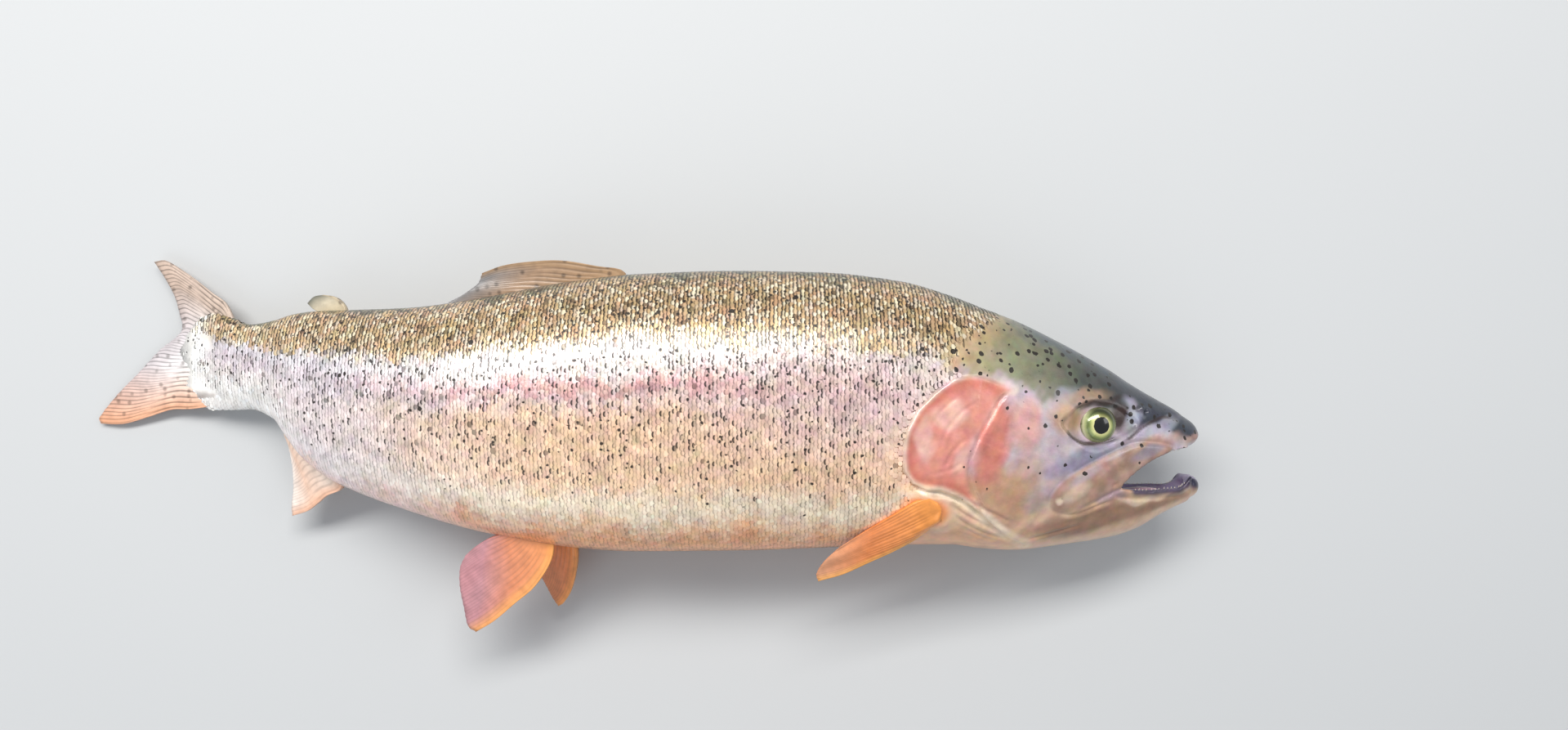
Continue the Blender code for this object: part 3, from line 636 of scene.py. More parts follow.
    # Small spots everywhere but on the belly and the gill cover, and large ones on the top of the head.
    spotting = np.interp(height, (-0.75, -0.5, -0.2, 0.1, 0.4, 0.52), (0.0, 0.16, 0.36, 0.4, 0.55, 1.0))
    on_head = 0.12 * step(0.2, 0.45, height) + 0.05
    spotting = spotting + (on_head * (1.0 - cover) - spotting) * head
    spotting *= step(-0.8, -0.5, height)
    blots = 0.03 * step(-0.5, 0.0, height) * (1.0 - head)
    blots += head * (1.0 - cover) * (0.9 * step(0.3, 0.55, height) + 0.1 * step(-0.5, 0.0, height))
    shares = {"silver": silver, "spotting": spotting, "blots": blots}
    if depth is not None:
        mouth = step(2.0, 5.0, depth) * (behind < 100.0)
        tint = mixed(tint, "lining", mouth)
        tint = mixed(tint, "gullet", mouth * step(38.0, 58.0, behind))
        shares = {name: share * (1.0 - mouth) for name, share in shares.items()}
    return tint, shares


def head_reach(place):
    """Distance ahead of the front edge of the scales, negative on the scaled body."""
    distance = line_distance(place, HEAD_LINE)[0]
    return np.where(inside(place, HEAD_SIDE), distance, -distance)


GILL_OUTLINE = smooth_outline(GILL_EDGE + CHEEK_EDGE[1:-1], 3)
MAXILLA_OUTLINE = smooth_outline(MAXILLA, 3)
ORBIT_OUTLINE = smooth_outline(ORBIT, 4)
# From over the back down the front edge of the scales, round the gill opening and forward under the throat.
CHEST_EDGE = ((147.5, -43.0), (152.0, -54.0), (158.0, -64.0), (162.0, -74.0), (162.0, -100.0))
HEAD_LINE = ((95.0, 95.0), *SCALE_FRONT, *GILL_EDGE[3:10], *CHEST_EDGE)
HEAD_SIDE = ((-60.0, 95.0), *HEAD_LINE, (-60.0, -100.0))


# -------- The skin ------------------------------------------------

TUBE_AROUND, TUBE_RINGS = 120, 230
PAST_SIDE = 90.0  # further from the middle plane than any flesh
UNDER_SCALES = 0.3  # how much deeper the skin lies under the scales
BARE_EDGE = 0.55  # edge darkening (pigment and painted edge shadow) on skin that has no scales, as on the middle of a scale
EYE = {"behind": 59.4, "height": -7.2, "side": 20.6, "radius": 10.0, "depth": 8.0}


def straight_tube(name, grow):
    """The body, straight, as a fine tube from chin to tail."""
    shape = bmesh.new()
    bmesh.ops.create_cone(shape, cap_ends=True, segments=TUBE_AROUND, radius1=1.0, radius2=1.0, depth=1.0)
    long_edges = [edge for edge in shape.edges if abs(edge.verts[0].co.z - edge.verts[1].co.z) > 0.5]
    bmesh.ops.subdivide_edges(shape, edges=long_edges, cuts=TUBE_RINGS - 2, use_grid_fill=True)
    obj = new_object(name, shape)
    co = coordinates(obj.data)
    along = co[:, 2] + 0.5
    # The rings lie closest together at the head.
    behind = FRONT + (END - FRONT) * (0.12 * along + 0.88 * along * along)
    points = surface(behind, np.arctan2(co[:, 0], co[:, 1]), grow)
    set_coordinates(obj.data, points * STRAIGHT)
    shape = bmesh.new()
    shape.from_mesh(obj.data)
    bmesh.ops.recalc_face_normals(shape, faces=shape.faces)
    shape.to_mesh(obj.data)
    shape.free()
    return obj


def straight_block(name, outline):
    """A block with this outline, right through the fish from side to side."""
    shape = bmesh.new()
    ring = bmesh.ops.create_circle(shape, cap_ends=True, segments=len(outline), radius=1.0)
    for vert, (behind, height) in zip(ring["verts"], outline):
        vert.co = (-behind * MM, height * MM, -PAST_SIDE * MM)
    made = bmesh.ops.extrude_face_region(shape, geom=shape.faces[:])
    raised = [item for item in made["geom"] if isinstance(item, bmesh.types.BMVert)]
    bmesh.ops.translate(shape, vec=(0.0, 0.0, 2.0 * PAST_SIDE * MM), verts=raised)
    bmesh.ops.triangulate(shape, faces=shape.faces)
    bmesh.ops.recalc_face_normals(shape, faces=shape.faces)
    return new_object(name, shape)


def straight_ball(name, centre, radii, turn=0.0, cells=(48, 24)):
    """An ellipsoid with its centre as (behind, height, side)."""
    shape = bmesh.new()
    bmesh.ops.create_uvsphere(shape, u_segments=cells[0], v_segments=cells[1], radius=1.0)
    size = Matrix.Diagonal((radii[0] * MM, radii[1] * MM, radii[2] * MM, 1.0))
    place = Vector((-centre[0], centre[1], centre[2])) * MM
    turned = Matrix.Translation(place) @ Matrix.Rotation(math.radians(turn), 4, "Z") @ size
    bmesh.ops.transform(shape, matrix=turned, verts=shape.verts)
    return new_object(name, shape)


def mouth_and_eye_cutters():
    """What the open mouth and the eye sockets take out of the tube."""
    lower = [*LOWER_LIP, *CHIN_FRONT]
    gape = smooth_outline([*UPPER_LIP, MOUTH_CORNER, *lower], 5, closed=False)
    cutters = [
        straight_block("gape", gape),
        straight_ball("palate", (27.0, -27.5, 0.0), (24.0, 8.0, 11.0), 22.0),
        straight_ball("jaw_floor", (31.0, -40.5, 0.0), (24.0, 9.5, 13.0), 2.0),
        straight_ball("gullet", (54.0, -39.0, 0.0), (20.0, 9.0, 13.0), -10.0),
    ]
    for side in (RIGHT, LEFT):
        centre = (EYE["behind"], EYE["height"], side * EYE["side"])
        cutters.append(straight_ball("socket", centre, (6.2, 6.2, 12.0)))
    return cutters


def eye_distance(points, tall=1.0):
    """Distance from the middle of the eye, seen from the side, with heights stretched by tall."""
    return np.hypot(points[:, 0] - EYE["behind"], tall * (points[:, 1] - EYE["height"]))


def bell(value, spread=1.0):
    """1 where the value is 0, falling off to 0 on both sides."""
    return np.exp(-(value**2) / spread)


def ridges(points, mask):
    """How far the skin of the head stands out or in, in millimetres: bones, folds and grooves."""
    place = points[:, :2]
    raised = np.zeros(len(points))

    # The gill cover laps over the shoulder with a thin free edge, and a groove runs just behind it.
    edge, along, _ = line_distance(place, GILL_OPENING)
    ahead = inside(place, (*GILL_OPENING, (90.0, -110.0), (70.0, -110.0), (70.0, 11.0)))
    ends = step(0.0, 0.12, along) * (1.0 - 0.7 * step(0.85, 1.0, along))
    lap = step(-0.8, 0.8, np.where(ahead, edge, -edge))
    raised += ends * (1.25 * np.exp(-edge / 15.0) * lap - 1.1 * bell(edge - 0.9, 3.0) * (1.0 - lap))

    # The cheek bone's rear edge, in front of the gill cover.
    bone, along, side = line_distance(place, smooth_outline(CHEEK_EDGE, 3, closed=False))
    raised += fading(along, 0.1) * (0.55 * bell(bone - 2.6, 5.0) * (side > 0) - 0.6 * bell(bone, 0.9))

    # The maxilla, a strap of bone along the upper jaw.
    strap = signed_distance(place, MAXILLA_OUTLINE)
    rear = step(60.0, 84.0, points[:, 0])
    raised += (0.9 - 0.5 * rear) * step(-0.4, 2.2 + 2.0 * rear, strap)
    raised -= (0.5 - 0.25 * rear) * bell(strap + 0.6, 0.8)

    # The eye lies in a shallow almond, sharpest along its lower rim.
    orbit = signed_distance(place, ORBIT_OUTLINE)
    lower = 1.0 - step(-9.0, 0.0, points[:, 1])
    raised -= (0.9 + 0.7 * lower) * step(-0.2, 3.0 - 1.6 * lower, orbit)
    raised += (0.1 + 0.15 * lower) * bell(orbit + 1.4, 2.0)

    # Groove from the eye to the tip of the snout, and the two nostrils above it.
    groove = line_distance(place, smooth_outline(SNOUT_GROOVE, 4, closed=False))[0]
    raised -= 0.55 * bell(groove, 0.9)
    for behind, height, wide, deep in NOSTRILS:
        pit = np.hypot(points[:, 0] - behind, points[:, 1] - height)
        raised += 0.35 * bell(pit - wide - 1.0, 0.8) - deep * bell(pit / wide)

    # The lower lip is a soft roll, with a crease under it that runs back from the mouth's corner.
    lip = line_distance(place, smooth_outline(((47.5, -40.0), *LOWER_LIP[:5]), 3, closed=False))[0]
    raised += (points[:, 1] < -37.0) * (0.45 * bell(lip - 1.6, 2.0) - 0.55 * bell(lip - 4.6, 1.2))

    # The fleshy root of the pectoral fin.
    raised += 3.2 * bell(line_distance(place, PECTORAL_ROOT)[0] / 5.0)

    for line, deep in HEAD_FOLDS:
        fold, along, _ = line_distance(place, smooth_outline(line, 3, closed=False))
        raised += fading(along, 0.25) * deep * (0.5 * bell(fold - 1.7, 1.2) - bell(fold, 0.7))
    return raised * mask * step(6.9, 8.1, eye_distance(points))


def settled(points, coat):
    """Points of the outside moved onto the true surface, less the coat, and their depth under it."""
    depth = depth_under_surface(points)
    target = coat + UNDER_SCALES * step(1.5, 5.0, -head_reach(points[:, :2]))
    near = np.maximum(1.0 - step(0.5, 1.4, np.abs(depth - coat)), step(112.0, 120.0, points[:, 0]))
    near *= step(0.0, 6.0, points[:, 0])
    near *= step(10.0, 12.0, eye_distance(points))
    wide = curve(STATIONS, points[:, 0], 3)
    up, side = points[:, 1] - wide, points[:, 2]
    gain = 1.0 + near * (depth - target) / np.maximum(np.hypot(up, side), 1e-3)
    points = np.stack((points[:, 0], wide + up * gain, side * gain), axis=1)

    # The orbit is a shallow dish that faces straight out.
    dish = 1.0 - step(9.0, 17.0, eye_distance(points, 1.15))
    over = np.maximum(np.abs(points[:, 2]) - EYE["side"] - 4.6, 0.0)
    points[:, 2] -= np.sign(points[:, 2]) * over * dish

    # The knob of the hooked lower jaw and the tip of the snout are round.
    for centre, radii in ROUND_ENDS:
        away = (points - centre) / radii
        reach = np.linalg.norm(away, axis=1)
        ahead = (points[:, 0] < centre[0]) & (reach > 1.0)
        ahead &= np.abs(points[:, 1] - centre[1]) < radii[1] + 4.0
        pulled = points + (centre + away / reach[:, None] * radii - points) * step(0.0, 0.5, -away[:, :1])
        points = np.where(ahead[:, None], pulled, points)
    return points, depth


def body_form(sizes):
    """The tube of the body with mouth and eye sockets cut out, evened, softened and thinned."""
    skin = straight_tube("skin", -sizes.coat_depth / MM)
    cutters = mouth_and_eye_cutters()
    for cutter in cutters:
        cut = skin.modifiers.new(cutter.name, "BOOLEAN")
        cut.operation = "DIFFERENCE"
        cut.solver = "EXACT"
        cut.object = cutter
    even = skin.modifiers.new("even", "REMESH")
    even.mode = "VOXEL"
    even.voxel_size = sizes.voxel
    soften = skin.modifiers.new("soften", "SMOOTH")
    soften.factor = 0.5
    soften.iterations = 3
    mesh = applied(skin)
    for cutter in cutters:
        bpy.data.objects.remove(cutter)

    # Fewer faces under the scales, and fewer on the side that lies down.
    points = coordinates(mesh) / STRAIGHT
    coarse = np.maximum(step(3.0, 12.0, -head_reach(points[:, :2])), 0.3 * step(-2.0, 2.0, -points[:, 2]))
    group = skin.vertex_groups.new(name="coarse")
    for index in np.nonzero(coarse > 0.0)[0]:
        group.add([int(index)], float(coarse[index]), "REPLACE")
    thin = skin.modifiers.new("thin", "DECIMATE")
    thin.ratio = min(1.0, sizes.skin_faces / sum(len(p.vertices) - 2 for p in mesh.polygons))
    thin.vertex_group = group.name
    thin.vertex_group_factor = 10.0
    shade_smooth(applied(skin))
    skin.vertex_groups.clear()
    return skin


def make_skin():
    sizes = settings()
    skin = body_form(sizes)
    mesh = skin.data
    points, depth = settled(coordinates(mesh) / STRAIGHT, sizes.coat_depth / MM)
    set_coordinates(mesh, points * STRAIGHT)
    normals = np.empty(len(points) * 3)
    mesh.vertex_normals.foreach_get("vector", normals)
    normals = normals.reshape(-1, 3) * (-1.0, 1.0, 1.0)
    outer = 1.0 - step(1.2, 3.2, depth)
    head = 1.0 - step(165.0, 185.0, points[:, 0])
    faces_out = step(0.15, 0.5, np.abs(normals[:, 2]))
    points = points + normals * (ridges(points, outer * head * faces_out))[:, None]

    tint, shares = markings(points, depth)
    shares["edge"] = np.full(len(points), BARE_EDGE)
    put_attribute(mesh, "tint", tint)
    for name, share in shares.items():
        put_attribute(mesh, name, share)
    set_coordinates(mesh, laid_down(points))
    flesh = ["head", "lower_jaw", "trunk", "tail_stalk", "gill_cover_right", "gill_cover_left"]
    flesh += ["maxilla_right", "maxilla_left"]
    return piece(skin, skin_material(), "flank_skin", *flesh)


def skin_material():
    """Wet trout skin: thin slime over pigment and silvery guanine, so a soft gloss over a pearly ground."""
    material, add = new_material("wet_trout_skin")
    place = add("TexCoord").outputs["Object"]
    tint = add("Attribute", {"attribute_name": "tint"}).outputs["Color"]
    silver, spotting, blots, edge = (
        add("Attribute", {"attribute_name": name}).outputs["Fac"]
        for name in ("silver", "spotting", "blots", "edge")
    )
    multiplied = {"data_type": "RGBA", "blend_type": "MULTIPLY", 0: 1.0}

    # Spots about 2 mm across and 3 mm apart on the back, fewer where spotting is low.
    warp = add("TexNoise", {"Scale": 1.0 / (3.0 * MM), "Detail": 2.0}, {"Vector": place})
    shove = {"operation": "MULTIPLY_ADD", 1: (1.7 * MM,) * 3}
    warped = add("VectorMath", shove, {0: warp.outputs["Color"], 2: place})
    cells = add("TexVoronoi", {"Scale": 1.0 / (3.0 * MM)}, {"Vector": warped})
    share = add("SeparateColor", (), {0: cells.outputs["Color"]}).outputs
    size = add("MapRange", {"To Min": 0.22, "To Max": 0.4}, {"Value": share["Green"]})
    soft = {"From Max": 0.0, "interpolation_type": "SMOOTHSTEP"}
    dark = add("MapRange", soft, {"Value": cells, "From Min": size})
    keep = add("Math", {"operation": "LESS_THAN"}, {0: share["Red"], 1: spotting})
    spots = add("Math", {"operation": "MULTIPLY"}, {0: dark, 1: keep})
    # Larger round spots, about 2.5 mm across, mostly on the top of the head.
    cells = add("TexVoronoi", {"Scale": 1.0 / (5.2 * MM), "Randomness": 0.85}, {"Vector": warped})
    share = add("SeparateColor", (), {0: cells.outputs["Color"]}).outputs
    dark = add("MapRange", {"From Min": 0.27, "From Max": 0.19}, {"Value": cells})
    keep = add("Math", {"operation": "LESS_THAN"}, {0: share["Red"], 1: blots})
    large = add("Math", {"operation": "MULTIPLY"}, {0: dark, 1: keep})
    either = add("Math", {"operation": "MAXIMUM"}, {0: spots, 1: large})
    spotted = add("MapRange", {"From Max": 0.35, "To Max": 0.97}, {"Value": either})

    # Mottling of a few millimetres, as pigment gathers unevenly.
    mottle = add("TexNoise", {"Scale": 1.0 / (7.0 * MM), "Detail": 4.0}, {"Vector": place})
    light = {"From Min": 0.3, "From Max": 0.7, "To Min": 0.82, "To Max": 1.12}
    light = add("MapRange", light, {"Value": mottle})
    colour_of = add("Mix", multiplied, {6: tint, 7: light})
    # The sheen of wet skin shifts a little between warm and cool over a few millimetres.
    shift = add("TexNoise", {"Scale": 1.0 / (6.0 * MM), "Detail": 3.0}, {"Vector": place})
    sheen = {"data_type": "RGBA", "blend_type": "OVERLAY", 0: 0.22}
    colour_of = add("Mix", sheen, {6: colour_of, 7: shift.outputs["Color"]})
    # Each scale is brightest in its middle and dark along its free edge: partly a line of pigment, partly a
    # painted shadow of the raised edge.
    rim = {"From Min": 0.5, "From Max": 1.3, "To Min": 1.1, "To Max": 0.1}
    rim = add("MapRange", rim, {"Value": edge})
    colour_of = add("Mix", multiplied, {6: colour_of, 7: rim})
    pigment = {"data_type": "RGBA", 7: (*bpy.context.scene.trout_colours.spot, 1.0)}
    colour_of = add("Mix", pigment, {0: spotted, 6: colour_of})

    # The guanine shines where no spot covers it.
    bare = add("Math", {"operation": "SUBTRACT", 0: 1.0, "use_clamp": True}, {1: spotted})
    shine = add("Math", {"operation": "MULTIPLY"}, {0: bare, 1: silver})
    metal = add("Math", {"operation": "MULTIPLY", 1: 0.45}, {0: shine})
    rough = {"From Min": 0.3, "From Max": 0.7, "To Min": 0.3, "To Max": 0.44}
    rough = add("MapRange", rough, {"Value": mottle})
    # Fine grain of 0.9 mm over waves of 4 mm.
    grain = add("TexNoise", {"Scale": 1.0 / (0.9 * MM), "Detail": 3.0}, {"Vector": place})
    uneven = add("TexNoise", {"Scale": 1.0 / (4.0 * MM), "Detail": 2.0}, {"Vector": place})
    waves = add("Bump", {"Strength": 0.5, "Distance": 0.5 * MM}, {"Height": uneven})
    bump = add("Bump", {"Strength": 0.35, "Distance": 0.12 * MM}, {"Height": grain, "Normal": waves})
    slime = {"Coat Weight": 0.45, "Coat Roughness": 0.1, "Coat IOR": 1.36}
    finish(add, slime, {"Base Color": colour_of, "Metallic": metal, "Roughness": rough, "Normal": bump})
    return material


# -------- The scales ----------------------------------------------

FIRST_SCALES, LAST_SCALES = 98.0, 554.0  # behind the snout
MIDDLE_ROW = 0.52 * math.pi  # angle of the row that runs along the middle of the side
SCALE_LENGTH = 1.9  # over the step to the next scale of its row, so about half of it is covered
SCALE_BREADTH = 1.22  # over the step to the next row
FULL_COMMA = 1.9  # pigment of a scale whose free edge is all dark
UNROLLED_LENGTH = 560.0  # of the body on the bake map
BAKE_PATCH = 0.003  # share of the bake map's breadth that one scale takes


def scale_template():
    """One scale, 1 long and 1 broad: a curved plate, raised at its free edge, -X, and sunk at its root."""
    shape = bmesh.new()
    bmesh.ops.create_circle(shape, cap_ends=True, segments=10, radius=0.5)
    bmesh.ops.poke(shape, faces=shape.faces)
    centre = min(shape.verts, key=lambda vert: vert.co.length)
    bmesh.ops.contextual_create(shape, geom=[edge for edge in shape.edges if centre not in edge.verts])
    for vert in shape.verts:
        if vert is centre:
            vert.co = (-0.1, 0.0, 0.7)
            continue
        # The free edge is a flat arc: the corners of the circle are pushed out.
        vert.co.x = 0.5 * math.copysign(abs(2.0 * vert.co.x) ** 0.55, vert.co.x)
        vert.co.z = min(0.9 - 2.6 * vert.co.x, 1.4) - 0.45 - 0.9 * vert.co.y**2
    shape.verts.index_update()
    bmesh.ops.recalc_face_normals(shape, faces=shape.faces)
    bmesh.ops.triangulate(shape, faces=[face for face in shape.faces if len(face.verts) > 3])
    verts = np.array([vert.co for vert in shape.verts])
    faces = np.array([[vert.index for vert in face.verts] for face in shape.faces])
    shape.free()
    return verts, faces


def scale_places(side, sizes):
    """Where the scales of one side grow: at even distances, each column half a step off the last."""
    long_step, row_step = sizes.scale_step / MM, sizes.row_step / MM
    columns = np.arange(FIRST_SCALES, LAST_SCALES, long_step)
    angles = np.linspace(0.0, math.pi, 181)
    places = []
    for number, behind in enumerate(columns):
        ring = surface(np.full(angles.shape, behind), angles)
        arc = np.concatenate(([0.0], np.cumsum(np.linalg.norm(np.diff(ring, axis=0), axis=1))))
        middle = np.interp(MIDDLE_ROW, angles, arc)
        first, last = int(-middle / row_step), int((arc[-1] - middle) / row_step)
        rows = np.arange(first, last + 1) + 0.5 * (number % 2)
        at_arc = middle + rows * row_step
        at_arc = at_arc[(at_arc > 0.3) & (at_arc < arc[-1] - 0.3)]
        angle = np.interp(at_arc, arc, angles)
        places.append(np.stack((np.full(angle.shape, behind), angle), axis=1))
    places = np.concatenate(places)
    return places[:, 0], places[:, 1] * side


def unit(ways):
    return ways / np.linalg.norm(ways, axis=1)[:, None]


def scale_mesh(name, points, faces, turned):
    """One mesh of all the scales: points is (scale, corner, axis), and faces are those of one scale."""
    count, per = points.shape[:2]
    tris = (faces[None] + (np.arange(count) * per)[:, None, None]).reshape(-1, 3)
    tris = tris[:, ::-1] if turned else tris
    mesh = bpy.data.meshes.new(name)
    mesh.vertices.add(count * per)
    mesh.vertices.foreach_set("co", laid_down(points).ravel())
    mesh.loops.add(tris.size)
    mesh.loops.foreach_set("vertex_index", tris.ravel())
    mesh.polygons.add(len(tris))
    mesh.polygons.foreach_set("loop_start", np.arange(0, tris.size, 3))
    mesh.update(calc_edges=True)
    shade_smooth(mesh)
    return mesh


def make_scales(name, side, upper):
    """The scales of the upper or lower half of one side, joined into one mesh."""
    sizes = settings()
    coat = -sizes.coat_depth / MM
    behind, angle = scale_places(side, sizes)
    keep = (np.abs(angle) < 0.5 * math.pi) == upper
    behind, angle = behind[keep], angle[keep]
    rng = np.random.default_rng(int(7 + 2 * upper + side))
    behind = behind + rng.normal(0.0, 0.2, len(behind))
    angle = angle + rng.normal(0.0, 0.003, len(angle))

    # None on the bare head, and ever fewer where the stalk runs out onto the tail fin.
    middle = surface(behind, angle, coat)
    ahead = head_reach(middle[:, :2])
    keep = (ahead < -0.6) & (rng.random(len(ahead)) > 0.8 * step(541.0, LAST_SCALES, behind))
    behind, angle, middle, ahead = behind[keep], angle[keep], middle[keep], ahead[keep]
    along = unit(surface(behind + 0.5, angle, coat) - middle)
    across = unit(surface(behind, angle + 0.004, coat) - middle)
    out = np.cross(across, along) * side
    deeper = surface(behind, angle, -4.0)
    out *= np.sign(np.sum(out * (middle - deeper), axis=1))[:, None]

    # Scales are smaller behind the head and on the stalk.
    verts, faces = scale_template()
    grow = 0.65 + 0.35 * step(0.0, 12.0, -ahead)
    grow *= (1.0 - 0.2 * step(440.0, 520.0, behind)) * (1.0 - 0.3 * step(525.0, 549.0, behind))
    long = sizes.scale_step / MM * SCALE_LENGTH * grow * rng.uniform(0.88, 1.12, len(behind))
    broad = sizes.row_step / MM * SCALE_BREADTH * np.sqrt(grow) * rng.uniform(0.9, 1.1, len(behind))
    high = level(middle)
    lift = sizes.scale_lift / MM * rng.uniform(0.7, 1.4, len(behind)) * grow
    lift *= 0.5 + 0.5 * step(-0.9, -0.5, high)
    back = -verts[:, 0]
    offset = along[:, None] * (back[None, :, None] * long[:, None, None])
    offset = offset + across[:, None] * (verts[None, :, 1, None] * broad[:, None, None])
    points = middle[:, None] + offset + out[:, None] * (verts[None, :, 2, None] * lift[:, None, None])
    mesh = scale_mesh(name, points, faces, side < 0)
    count, per = points.shape[:2]

    # The edges of the rim are sharp; those that run to a scale's middle are smooth.
    ends = np.empty(2 * len(mesh.edges), int)
    mesh.edges.foreach_get("vertices", ends)
    centre = int(np.argmin(np.hypot(verts[:, 0] + 0.1, verts[:, 1])))
    rim = (ends.reshape(-1, 2) % per != centre).all(axis=1)
    mesh.attributes.new("sharp_edge", "BOOLEAN", "EDGE").data.foreach_set("value", rim)

    # Each scale takes its colour from a place up to a few millimetres off, so the bands run together.
    tint, shares = markings(middle + rng.normal(0.0, 1.1, middle.shape))
    bright = rng.normal(1.0, 0.07, count)[:, None]
    # Single scales of the back get a painted cream glint or are dark, and a few of the flank are dark too.
    chance = rng.random(count)
    dark = np.interp(high, (-0.6, -0.3, 0.35, 0.6, 0.9), (0.0, 0.01, 0.015, 0.05, 0.08))
    tint = mixed(tint, "glint", 0.8 * between(high, 0.35, 0.6, 0.88, 1.0) * step(0.5, 0.9, chance))
    tint = mixed(tint, "spot", 0.6 * (chance < dark))
    put_attribute(mesh, "tint", np.repeat(np.clip(tint * bright, 0.0, 1.0), per, axis=0))
    shares["silver"] = np.clip(shares["silver"] + rng.normal(0.0, 0.12, count), 0.0, 1.0)
    for label, share in shares.items():
        put_attribute(mesh, label, np.repeat(share, per))
    # The dark of the free edge is partly pigment and partly a painted shadow of the raised edge; it is
    # thickest on the back, where it makes a brown comma on every scale.
    pigment = rng.uniform(0.8, 1.25, count)
    pigment *= 1.0 + 0.5 * step(0.4, 0.55, high) - 0.2 * (1.0 - step(-0.8, -0.5, high))
    pigment *= 1.0 - 0.4 * step(-16.0, -1.0, ahead)
    commas = np.interp(high, (-0.6, -0.4, 0.1, 0.3), (0.0, 0.08, 0.14, 0.22))
    pigment = np.where(rng.random(count) < commas, FULL_COMMA, pigment)
    put_attribute(mesh, "edge", (pigment[:, None] * step(-0.05, 0.45, back)).ravel())

    # The bake map: each scale is a small patch at its root's place on the body unrolled.
    unrolled = np.stack((0.02 + 0.96 * behind / UNROLLED_LENGTH, 0.5 + 0.48 * angle / math.pi), axis=1)
    corner = np.stack((back, verts[:, 1]), axis=1) * BAKE_PATCH
    uv = (unrolled[:, None, :] + corner[None]).reshape(-1, 2)
    loops = np.empty(len(mesh.loops), int)
    mesh.loops.foreach_get("vertex_index", loops)
    mesh.uv_layers.new(name="OFBake").data.foreach_set("uv", uv[loops].ravel())
    return piece(linked(name, mesh), bpy.data.materials["wet_trout_skin"], "flank_skin")


# -------- The fins ------------------------------------------------

